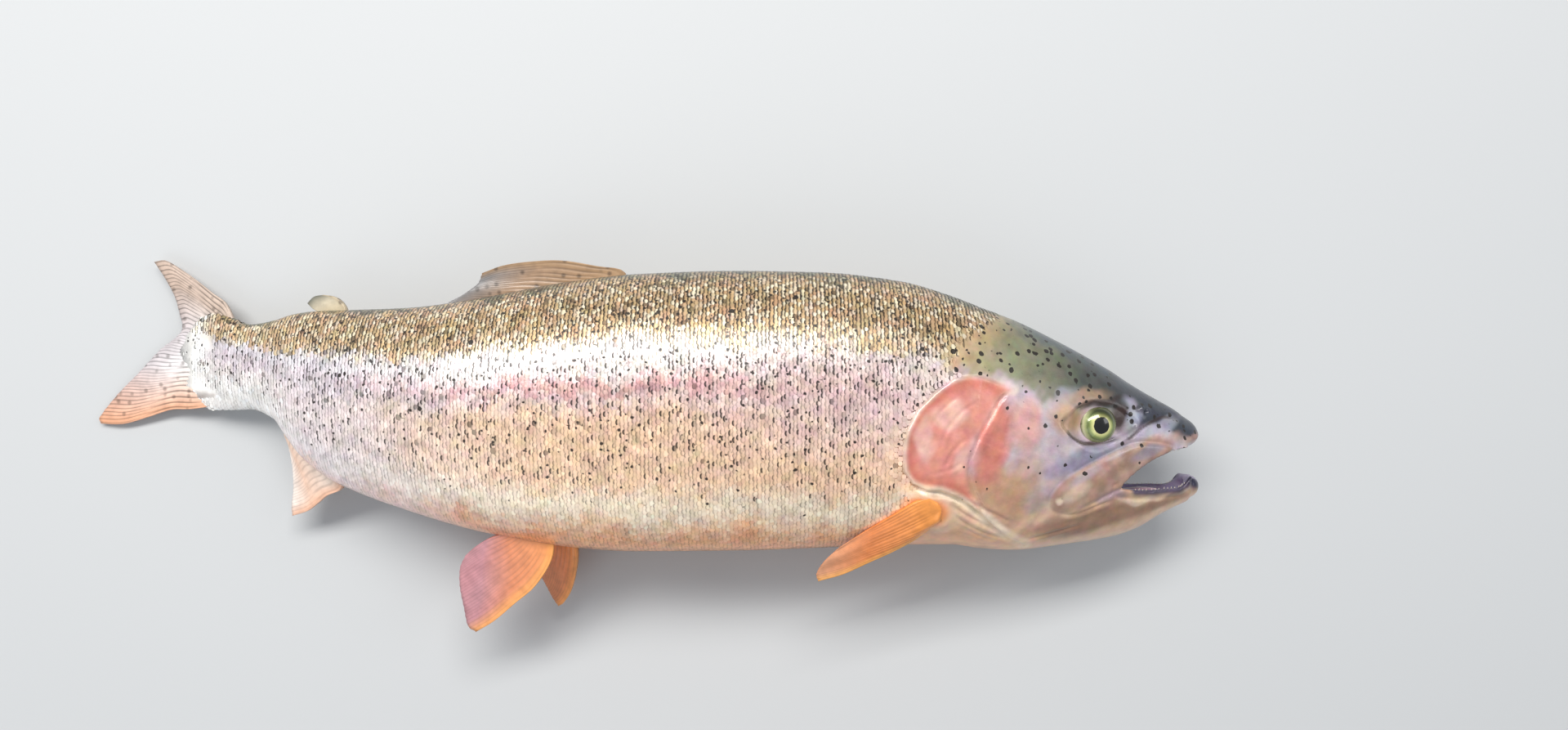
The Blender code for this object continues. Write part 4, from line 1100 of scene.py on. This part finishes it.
# Lines of each fin, as (behind, height, side) points. base is where its rays leave the body, first to last.
# lead and trail are its front and rear edges, base to tip, and edge is its free edge, first ray to last.
# thick is the root's thickness, colours are root, middle, margin and front edge, and rear the rear edge's.
# streaks is how dark its spots are, lines how dark it is between the rays, rearward how far the margin's
# colour comes in toward the rear, and lead_share how broad the front edge's colour is.
FINS = {
    "dorsal_fin": {
        "base": ((300, 63, 0), (330, 60, 0), (360, 54.5, 0)),
        "lead": ((303, 72.2, 0), (316, 74.6, 0.5), (335, 77.6, 1), (351, 77.2, 1.5), (366, 75.2, 2)),
        "edge": ((377.5, 71.2, 2), (380, 65.8, 2), (387, 60.6, 2), (396, 56, 2)),
        "trail": ((374, 51, 0.5), (388, 52, 1)),
        "thick": 3.4, "rays": 13, "colours": ("#B08E6C", "#A88A70", "#8E8C8C", "#A4835F"), "streaks": 0.6,
        "lines": 0.35, "slot": "dorsal_fin_skin",
    },
    "adipose_fin": {
        "base": ((454, 48, 0), (466, 48, 0)),
        "lead": ((454.5, 53.5, 0), (457.5, 57.7, 0.5), (462, 60, 1)),
        "edge": ((467, 60.8, 1), (472.6, 59.9, 1), (476.6, 56.4, 1)),
        "trail": ((468.5, 51, 0), (473, 53.2, 0.5)),
        "thick": 3.6, "rays": 0, "colours": ("#CDBB98", "#CFC4AC", "#77766A", "#C4B294"), "streaks": 0.6,
        "slot": "dorsal_fin_skin",
    },
    "anal_fin": {
        "base": ((456, -36, 0), (470, -29, 0), (487, -12, 0)),
        "lead": ((457, -43.5, -0.5), (466, -47.6, -1.5), (472, -52, -3), (479, -56.6, -4.5)),
        "edge": (
            (489, -59.8, -6), (489.5, -54, -5.5), (488, -45, -4.5), (487.5, -34, -3), (490, -20, -1.5),
        ),
        "trail": ((491, -14, -0.5),),
        "thick": 3.4, "rays": 12, "colours": ("#F1E0D2", "#EDC9B2", "#F6E8DE", "#E9B494"),
        "slot": "paired_fin_skin",
    },
    "pelvic_fin_right": {
        "base": ((337, -65, 9.6), (347, -63.3, 10), (357, -61.6, 10.4)),
        "lead": ((339, -77.5, 9), (348, -91.6, 7), (359, -101, 4.5), (371, -111.2, 1)),
        "edge": (
            (382, -118.2, -2.6), (386.5, -115.5, -2.8), (388.5, -104, -1), (390, -91.5, 1.4),
            (389, -83, 3.6), (385.5, -76.5, 5.6),
        ),
        "trail": ((371, -66.4, 10), (380, -71.8, 7.4)),
        "thick": 4.2, "rays": 14, "lines": 0.14, "colours": ("#F09C5C", "#DC8A62", "#C48A90", "#F6A858"),
        "rearward": 0.45, "slot": "paired_fin_skin",
    },
    "pelvic_fin_left": {
        "base": ((330, -66.5, -9.5), (341, -65, -11), (352, -63, -12.5)),
        "lead": ((329.5, -79, -13), (331.5, -90, -18), (335, -100, -23), (340, -107.5, -27)),
        "edge": ((343, -109.4, -28.6), (346.5, -105, -29.2), (351.5, -95.5, -29.5), (357, -85, -28)),
        "trail": ((355, -68, -17), (358.5, -75.5, -23)),
        "thick": 4.2, "rays": 12, "lines": 0.14, "colours": ("#F09A56", "#E88C54", "#D88A5C", "#F4A458"),
        "rearward": 0.45, "slot": "paired_fin_skin",
    },
    "pectoral_fin_right": {
        "base": (
            (145.4, -54.2, 29.6), (141.6, -51.4, 34.5), (141.4, -47.8, 35.7), (143.4, -44.6, 37.2),
            (148, -42.2, 37.4),
        ),
        "lead": (
            (147.5, -57.6, 27), (151.5, -61, 27), (156, -64.4, 26.6), (164, -69.8, 23.6),
            (176, -76.6, 19.5), (189, -83.6, 15.4),
        ),
        "edge": ((201.5, -88, 11.5), (202.5, -84, 13.5), (198.5, -76.5, 18), (191, -69, 22.5)),
        "trail": ((154, -43.8, 37.4), (162, -49, 34.9), (177, -59, 28.7)),
        "thick": 4.6, "rays": 13, "lines": 0.12, "colours": ("#F09A4C", "#E68646", "#DC9A72", "#F4AC56"),
        "slot": "paired_fin_skin",
    },
    "pectoral_fin_left": {
        "base": ((141, -52, -25.5), (144.5, -47.5, -28.5), (148, -43, -30.5)),
        "lead": ((144.5, -57.5, -31), (154, -61, -33), (168, -63.5, -35), (183, -65, -36.5)),
        "edge": ((198, -65.5, -38), (207, -63, -39), (207, -59, -39.5), (199, -53.5, -39.8)),
        "trail": ((154, -40.5, -39.6), (170, -44, -40.4), (186, -48.5, -40.2)),
        "thick": 4.6, "rays": 13, "colours": ("#EC8E50", "#E68B50", "#DC9674", "#F2A058"),
        "slot": "paired_fin_skin",
    },
    "caudal_fin": {
        "base": ((533, 0.5, 0), (529, 24, 0), (521, 46, 0)),
        "lead": ((548, -1.4, 0), (560, -1.8, 0), (574, -6, 0), (589, -10, 0)),
        "edge": (
            (602, -9.8, 0), (603.4, -7, 0), (594, 5, 0), (582, 16.5, 0), (568, 31, 0), (557, 39, 0),
            (554, 43.5, 0), (556, 52, 0), (559, 62, 0), (564, 71, 0), (571, 80.6, 0),
        ),
        "trail": ((527, 57, 0), (535, 62.6, 0), (546, 70.6, 0), (556, 77, 0), (564.5, 81.4, 0)),
        "thick": 2.6, "rays": 24, "lead_share": 0.38, "rear": "#C2A894",
        "colours": ("#FBF8F2", "#F2ECEC", "#CFC6C8", "#E6A070"), "streaks": 0.5, "lines": 0.62,
        "slot": "tail_fin_skin",
    },
}
FIN_STEPS = 30  # cells from a fin's base to its free edge
ACROSS_RAY = 6  # cells across one ray
RAY_RELIEF = 0.34  # how far a ray stands out, and the thickness of the skin at a rayed fin's edge
SMOOTH_TIP = 1.4  # thickness at the free edge of a fin without rays
CUT_BACK = 0.25  # depth of the notches between the tips of the rays
SWAY = 0.5  # how far the sheet swings up and down
OVER_FLOOR = 0.45  # the least height of a fin's middle sheet


def even_line(points, count):
    """A smooth line through the points, as this many places at even distances along it."""
    line = smooth_outline(points, 8, closed=False)
    walked = np.concatenate(([0.0], np.cumsum(np.linalg.norm(np.diff(line, axis=0), axis=1))))
    where = np.linspace(0.0, walked[-1], count)
    return np.stack([np.interp(where, walked, line[:, i]) for i in range(3)], axis=1)


def fin_grid(spec, columns):
    """Points of the fin's middle sheet: columns from the front edge back, each from the base outward."""
    base = even_line(spec["base"], columns)
    edge = even_line(spec["edge"], columns)
    lead = even_line((spec["base"][0], *spec["lead"], spec["edge"][0]), FIN_STEPS + 1)
    trail = even_line((spec["base"][-1], *spec["trail"], spec["edge"][-1]), FIN_STEPS + 1)
    u = np.linspace(0.0, 1.0, columns)[:, None, None]
    v = np.linspace(0.0, 1.0, FIN_STEPS + 1)[None, :, None]
    ruled = (1.0 - v) * base[:, None] + v * edge[:, None] + (1.0 - u) * lead[None] + u * trail[None]
    corners = (1.0 - u) * ((1.0 - v) * base[0] + v * edge[0]) + u * ((1.0 - v) * base[-1] + v * edge[-1])
    return ruled - corners


def make_fin(name, spec):
    """A sheet through the fin's lines, thick at the root and over each ray, and cut back between them."""
    rays = spec["rays"]
    columns = max(rays, 6) * ACROSS_RAY + 1
    share = np.linspace(0.0, 1.0, columns)[:, None]
    out = np.linspace(0.0, 1.0, FIN_STEPS + 1)[None, :]
    grid = laid_down(fin_grid(spec, columns))
    # Each ray is single at its root and forks about half way out. The fleshy root hides the rays.
    phase = (share + 0.008 * np.sin(23.0 * share)) * max(rays - 1, 1)
    single = 0.5 + 0.5 * np.cos(2.0 * math.pi * phase)
    double = 0.5 + 0.5 * np.cos(4.0 * math.pi * phase)
    forked = step(0.45, 0.75, out)
    relief = single * (1.0 - forked) + double * forked
    relief = 0.6 + (relief - 0.6) * (step(0.02, 0.25, out) if rays else 0.0)
    if rays:
        # The thin skin is cut back a little between the tips of the rays, and the sheet sways.
        length = np.linalg.norm(grid[:, -1] - grid[:, 0], axis=1)
        cut = np.clip(CUT_BACK * MM / np.maximum(length, 1e-6), 0.0, 0.2)[:, None] * (1.0 - single) * out**6
        grid = grid - (grid - grid[:, :1]) * cut[:, :, None]
        sway = np.sin(phase * 0.9 + 2.2 * out) * out * (1.0 - step(0.85, 1.0, out) * 0.3)
        grid[:, :, 2] = np.maximum(grid[:, :, 2] + SWAY * MM * sway, OVER_FLOOR * MM)

    shape = bmesh.new()
    bmesh.ops.create_grid(shape, x_segments=columns - 1, y_segments=FIN_STEPS, size=0.5)
    flat = np.array([vert.co for vert in shape.verts])[:, :2] + 0.5
    column, row = np.rint(flat * (columns - 1, FIN_STEPS)).astype(int).T
    for vert, place in zip(shape.verts, grid[column, row]):
        vert.co = place
    obj = new_object(name + "_rays", shape)
    tip = RAY_RELIEF if rays else SMOOTH_TIP
    thick = tip + (spec["thick"] - tip) * (1.0 - out) ** 1.5 + (RAY_RELIEF * (1.0 - 0.55 * out)) * relief
    most = float(thick.max())
    group = obj.vertex_groups.new(name="thick")
    for index, share_of_most in enumerate(thick[column, row] / most):
        group.add([index], float(share_of_most), "REPLACE")
    put_attribute(obj.data, "out", row / FIN_STEPS)
    put_attribute(obj.data, "over", column / (columns - 1))
    put_attribute(obj.data, "relief", relief[column, row])
    solid = obj.modifiers.new("solid", "SOLIDIFY")
    solid.thickness = most * MM
    solid.offset = 0.0
    solid.vertex_group = group.name
    shade_smooth(applied(obj))
    obj.vertex_groups.clear()
    return piece(obj, fin_material(name, spec), spec["slot"], name)


def fin_material(name, spec):
    """Fin skin: wet membrane over jointed bony rays, coloured by blood and pigment, with a soft gloss."""
    material, add = new_material("wet_fin_skin_" + name)
    place = add("TexCoord").outputs["Object"]
    out, over, relief = (
        add("Attribute", {"attribute_name": label}).outputs["Fac"] for label in ("out", "over", "relief")
    )
    root, middle, margin, lead = spec["colours"]
    rearward = add("Math", {"operation": "MULTIPLY", 1: spec.get("rearward", 0.0)}, {0: over})
    reach = add("Math", {"operation": "ADD"}, {0: out, 1: rearward})
    tint = add("ValToRGB", {"stops": ((0.1, root), (0.6, middle), (0.97, margin))}, {"Fac": reach})
    near_lead = {"From Min": spec.get("lead_share", 0.16), "From Max": 0.02, "To Max": 0.85}
    near_lead = add("MapRange", near_lead, {"Value": over})
    tint = add("Mix", {"data_type": "RGBA", 7: (*linear(lead), 1.0)}, {0: near_lead, 6: tint})
    if "rear" in spec:
        near_rear = {"From Min": 0.6, "From Max": 0.85, "To Max": 0.85}
        near_rear = add("MapRange", near_rear, {"Value": over})
        rear = {"data_type": "RGBA", 7: (*linear(spec["rear"]), 1.0)}
        tint = add("Mix", rear, {0: near_rear, 6: tint})
    # Darker between the rays, and clouded over about 5 mm.
    shade = {"From Max": 0.45, "To Min": 1.0 - spec.get("lines", 0.2), "To Max": 1.06}
    shade = add("MapRange", shade, {"Value": relief})
    mottle = add("TexNoise", {"Scale": 1.0 / (5.0 * MM), "Detail": 4.0}, {"Vector": place})
    cloud = {"From Min": 0.3, "From Max": 0.7, "To Min": 0.85, "To Max": 1.12}
    cloud = add("MapRange", cloud, {"Value": mottle})
    both = add("Math", {"operation": "MULTIPLY"}, {0: shade, 1: cloud})
    tint = add("Mix", {"data_type": "RGBA", "blend_type": "MULTIPLY", 0: 1.0}, {6: tint, 7: both})
    if "streaks" in spec:
        cells = add("TexVoronoi", {"Scale": 1.0 / (5.5 * MM)}, {"Vector": place})
        dark = {"From Min": 0.3, "From Max": 0.12, "To Max": spec["streaks"]}
        dark = add("MapRange", dark, {"Value": cells})
        tint = add("Mix", {"data_type": "RGBA", 7: (*linear("#3A2F26"), 1.0)}, {0: dark, 6: tint})
    # Joints of the rays, about 1.1 mm apart.
    joints = add("TexNoise", {"Scale": 1.0 / (1.1 * MM), "Detail": 2.0}, {"Vector": place})
    bump = add("Bump", {"Strength": 0.3, "Distance": 0.1 * MM}, {"Height": joints})
    wet = {"Roughness": 0.36, "Coat Weight": 0.3, "Coat Roughness": 0.15}
    finish(add, wet, {"Base Color": tint, "Normal": bump})
    return material


# -------- Eyes, tongue and teeth ----------------------------------

IRIS_OUTSIDE = 12.0  # distance from the pupil's middle that counts as outside the iris
# From pupil to rim: share of that distance, colour.
IRIS_RINGS = (
    (0.3, "#0C0C0C"), (0.325, "#0E0E0A"), (0.345, "#E6E2A0"), (0.41, "#D0D488"), (0.49, "#8E9C58"),
    (0.58, "#66743F"), (0.66, "#B4BE84"), (0.74, "#D5DAB0"), (0.81, "#4C5236"), (0.94, "#2A2A1C"),
)
INSIDE_LIP = 2.4  # from the side of the head in to the teeth
ABOVE_GUM = 0.28  # how far a tooth's middle stands over the lip's line, as a share of its length
TOOTH_LEAN = 0.2  # radians outward
TOOTH_ROWS = ((LOWER_LIP[:5], 1.0, 15), (UPPER_LIP[3:], -1.0, 14))  # lip, way up, teeth on a side


def make_eye(name, side):
    centre = (EYE["behind"], EYE["height"], side * EYE["side"])
    radii = (EYE["radius"], EYE["radius"], EYE["depth"])
    ball = straight_ball("eyeball_" + name, centre, radii, cells=(64, 32))
    points = coordinates(ball.data) / STRAIGHT
    # Distance from the pupil's middle, which lies a little ahead of the ball's and under it.
    pupil = np.array((EYE["behind"] - 0.6, EYE["height"] - 0.3))
    out = np.hypot(points[:, 0] - pupil[0], (points[:, 1] - pupil[1]) * 0.92)
    front = points[:, 2] * side > EYE["side"]
    put_attribute(ball.data, "out", np.where(front, out, IRIS_OUTSIDE) / IRIS_OUTSIDE)
    # Painted shadow of the brow: a share that rises toward the top of the eye.
    up = points[:, 1] - EYE["height"] - 0.35 * (points[:, 0] - EYE["behind"])
    put_attribute(ball.data, "shade", step(0.5, 7.5, up))
    set_coordinates(ball.data, laid_down(points))
    return piece(ball, eye_material(), "eye", "eye_" + name)


def eye_material():
    """Wet cornea over a brassy green iris and a black pupil, so a sharp clear gloss."""
    found = bpy.data.materials.get("wet_iris")
    if found:
        return found
    material, add = new_material("wet_iris")
    out = add("Attribute", {"attribute_name": "out"}).outputs["Fac"]
    place = add("TexCoord").outputs["Object"]
    noise = add("TexNoise", {"Scale": 1.0 / (2.2 * MM), "Detail": 3.0}, {"Vector": place})
    shift = add("MapRange", {"To Min": -0.035, "To Max": 0.035}, {"Value": noise})
    moved = add("Math", {"operation": "ADD"}, {0: out, 1: shift})
    rings = add("ValToRGB", {"stops": IRIS_RINGS}, {"Fac": moved})
    # Painted shadow of the brow darkens the top of the iris.
    shade = add("Attribute", {"attribute_name": "shade"}).outputs["Fac"]
    brow = {"data_type": "RGBA", "blend_type": "MULTIPLY", 7: (*linear("#6E6C50"), 1.0)}
    shaded = add("Mix", brow, {0: shade, 6: rings})
    cornea = {"Roughness": 0.25, "Metallic": 0.2, "Coat Weight": 1.0, "Coat Roughness": 0.02}
    finish(add, cornea, {"Base Color": shaded})
    return material


def make_tongue():
    tongue = straight_ball("tongue_flesh", (33.0, -44.8, 0.0), (15.0, 3.5, 5.8), 3.0)
    points = coordinates(tongue.data) / STRAIGHT
    # A shallow groove runs along the top.
    points[:, 1] -= 0.5 * bell(points[:, 2] / 2.0) * (points[:, 1] > -45.0)
    set_coordinates(tongue.data, laid_down(points))
    # Wet flesh under thin slime: a soft gloss over lilac that is mottled every 2 mm.
    wet = {"Roughness": 0.3, "Coat Weight": 0.4}
    material = mottled_material("wet_tongue", 2.0, 4.0, ("#8E6A7C", "#C8A4B0"), wet)
    return piece(tongue, material, "mouth_lining", "tongue")


def gum_side(behind, height):
    """How far out the side of the head is at this place along it and this height."""
    angles = np.linspace(0.0, math.pi, 91)
    ring = surface(np.full(angles.shape, behind), angles)
    return float(np.interp(height, ring[::-1, 1], ring[::-1, 2]))


def make_teeth():
    """A row of small pointed teeth inside each lip."""
    long = settings().tooth_length / MM
    wide = 0.22 * long
    shape = bmesh.new()
    for line, up, count in TOOTH_ROWS:
        row = smooth_outline(line, 8, closed=False)
        places = row[np.linspace(0, len(row) - 1, count).astype(int)]
        for number, (behind, height) in enumerate(places):
            tall = long * (1.0 if number % 2 else 0.75)
            inner = gum_side(behind, height) - INSIDE_LIP
            for side in (RIGHT, LEFT):
                centre = Vector((-behind, height + up * ABOVE_GUM * tall, side * inner)) * MM
                turn = Matrix.Rotation(math.radians(-90.0 * up), 4, "X")
                bmesh.ops.create_cone(
                    shape,
                    cap_ends=True,
                    segments=6,
                    radius1=wide * MM,
                    radius2=0.12 * wide * MM,
                    depth=tall * MM,
                    matrix=Matrix.Translation(centre) @ (turn @ Matrix.Rotation(TOOTH_LEAN * side, 4, "Y")),
                )
    teeth = new_object("teeth", shape)
    set_coordinates(teeth.data, laid_down(coordinates(teeth.data) / STRAIGHT))
    # Wet enamel: hard, cream and glossy, a little darker in places.
    material = mottled_material("wet_tooth_enamel", 1.0, 2.0, ("#CFC2A4", "#F2EBDA"), {"Roughness": 0.25})
    return piece(teeth, material, "mouth_lining")


# -------- The stage -----------------------------------------------

FLOOR_HALF = 3.0  # metres
LENS, SENSOR = 26.0, 36.0
# Straight over the flank, a little toward the back: behind, height, distance over the floor.
CAMERA_PLACE = (219.0, 23.0, 638.0)


def softbox(name, place, target, size, power, tone=(1.0, 1.0, 1.0)):
    """A broad lamp at this place that faces the target: metres and watts."""
    data = bpy.data.lights.new(name, "AREA")
    data.shape = "RECTANGLE"
    data.size, data.size_y = size
    data.energy = power
    data.color = tone
    light = linked(name, data)
    light.location = place
    light.rotation_euler = (Vector(target) - light.location).to_track_quat("-Z", "Y").to_euler()


def make_stage():
    scene = bpy.context.scene
    shape = bmesh.new()
    bmesh.ops.create_grid(shape, x_segments=1, y_segments=1, size=FLOOR_HALF)
    floor = new_object("studio_floor", shape)
    # Matt paint, so the light falls off softly round the fish.
    material, add = new_material("painted_floor")
    finish(add, {"Base Color": (*linear("#CBCDCE"), 1.0), "Roughness": 0.7})
    floor.data.materials.append(material)

    camera = linked("camera", bpy.data.cameras.new("camera"))
    camera.data.lens, camera.data.sensor_width = LENS, SENSOR
    behind, height, over_floor = CAMERA_PLACE
    camera.location = ((SNOUT_X - behind) * MM, (BACK_Y + height) * MM, over_floor * MM)
    scene.camera = camera

    middle = (0.0, 0.0, 0.04)
    softbox("key_light", (-0.25, 0.95, 1.4), middle, (2.0, 0.45), 33.0, (1.0, 0.98, 0.95))
    softbox("fill_light", (-0.6, -1.2, 1.2), middle, (1.6, 1.2), 5.0, (0.95, 0.98, 1.0))
    softbox("head_light", (1.4, 0.4, 1.0), (0.2, 0.0, 0.04), (0.6, 0.6), 3.0)
    scene.view_settings.view_transform = "Standard"
    world = bpy.data.worlds.new("studio")
    world.use_nodes = True
    background = world.node_tree.nodes["Background"]
    background.inputs["Color"].default_value = (*linear("#F2F7FF"), 1.0)
    background.inputs["Strength"].default_value = 0.4
    scene.world = world


# -------- Operators, panel and main -------------------------------


class TROUT_OT_skin(bpy.types.Operator):
    """Build the skin of head, jaws and body in one piece"""

    bl_idname = "trout.skin"
    bl_label = "Skin"

    def execute(self, context):
        make_skin()
        return {"FINISHED"}


class TROUT_OT_scales(bpy.types.Operator):
    """Lay the scales over the skin"""

    bl_idname = "trout.scales"
    bl_label = "Scales"

    def execute(self, context):
        for name, side in (("right", RIGHT), ("left", LEFT)):
            make_scales(f"scales_{name}_upper", side, True)
            make_scales(f"scales_{name}_lower", side, False)
        return {"FINISHED"}


class TROUT_OT_fins(bpy.types.Operator):
    """Build the fins with their rays"""

    bl_idname = "trout.fins"
    bl_label = "Fins"

    def execute(self, context):
        for name, spec in FINS.items():
            make_fin(name, spec)
        return {"FINISHED"}


class TROUT_OT_eyes(bpy.types.Operator):
    """Build both eyes"""

    bl_idname = "trout.eyes"
    bl_label = "Eyes"

    def execute(self, context):
        make_eye("right", RIGHT)
        make_eye("left", LEFT)
        return {"FINISHED"}


class TROUT_OT_mouth(bpy.types.Operator):
    """Build the tongue and the teeth"""

    bl_idname = "trout.mouth"
    bl_label = "Tongue and teeth"

    def execute(self, context):
        make_tongue()
        make_teeth()
        return {"FINISHED"}


class TROUT_OT_stage(bpy.types.Operator):
    """Build the floor, the lights and the camera"""

    bl_idname = "trout.stage"
    bl_label = "Stage"

    def execute(self, context):
        make_stage()
        return {"FINISHED"}


class TROUT_PT_panel(bpy.types.Panel):
    """Steps and settings of the trout"""

    bl_idname = "TROUT_PT_panel"
    bl_label = "Rainbow Trout"
    bl_space_type = "VIEW_3D"
    bl_region_type = "UI"
    bl_category = "Trout"

    def draw(self, context):
        layout = self.layout
        for group in (context.scene.trout_sizes, context.scene.trout_colours):
            for name in group.bl_rna.properties.keys():
                if name not in ("rna_type", "name"):
                    layout.prop(group, name)
        for operator in STEPS:
            layout.operator(operator.bl_idname)


STEPS = (TROUT_OT_skin, TROUT_OT_scales, TROUT_OT_fins, TROUT_OT_eyes, TROUT_OT_mouth, TROUT_OT_stage)
CLASSES = (TroutColours, TroutSizes, *STEPS, TROUT_PT_panel)


def register():
    for kind in CLASSES:
        bpy.utils.register_class(kind)
    bpy.types.Scene.trout_colours = PointerProperty(type=TroutColours)
    bpy.types.Scene.trout_sizes = PointerProperty(type=TroutSizes)


def unregister():
    del bpy.types.Scene.trout_colours
    del bpy.types.Scene.trout_sizes
    for kind in reversed(CLASSES):
        bpy.utils.unregister_class(kind)


def main():
    register()
    bpy.ops.trout.skin()
    bpy.ops.trout.scales()
    bpy.ops.trout.fins()
    bpy.ops.trout.eyes()
    bpy.ops.trout.mouth()
    bpy.ops.trout.stage()


if __name__ == "__main__":
    main()
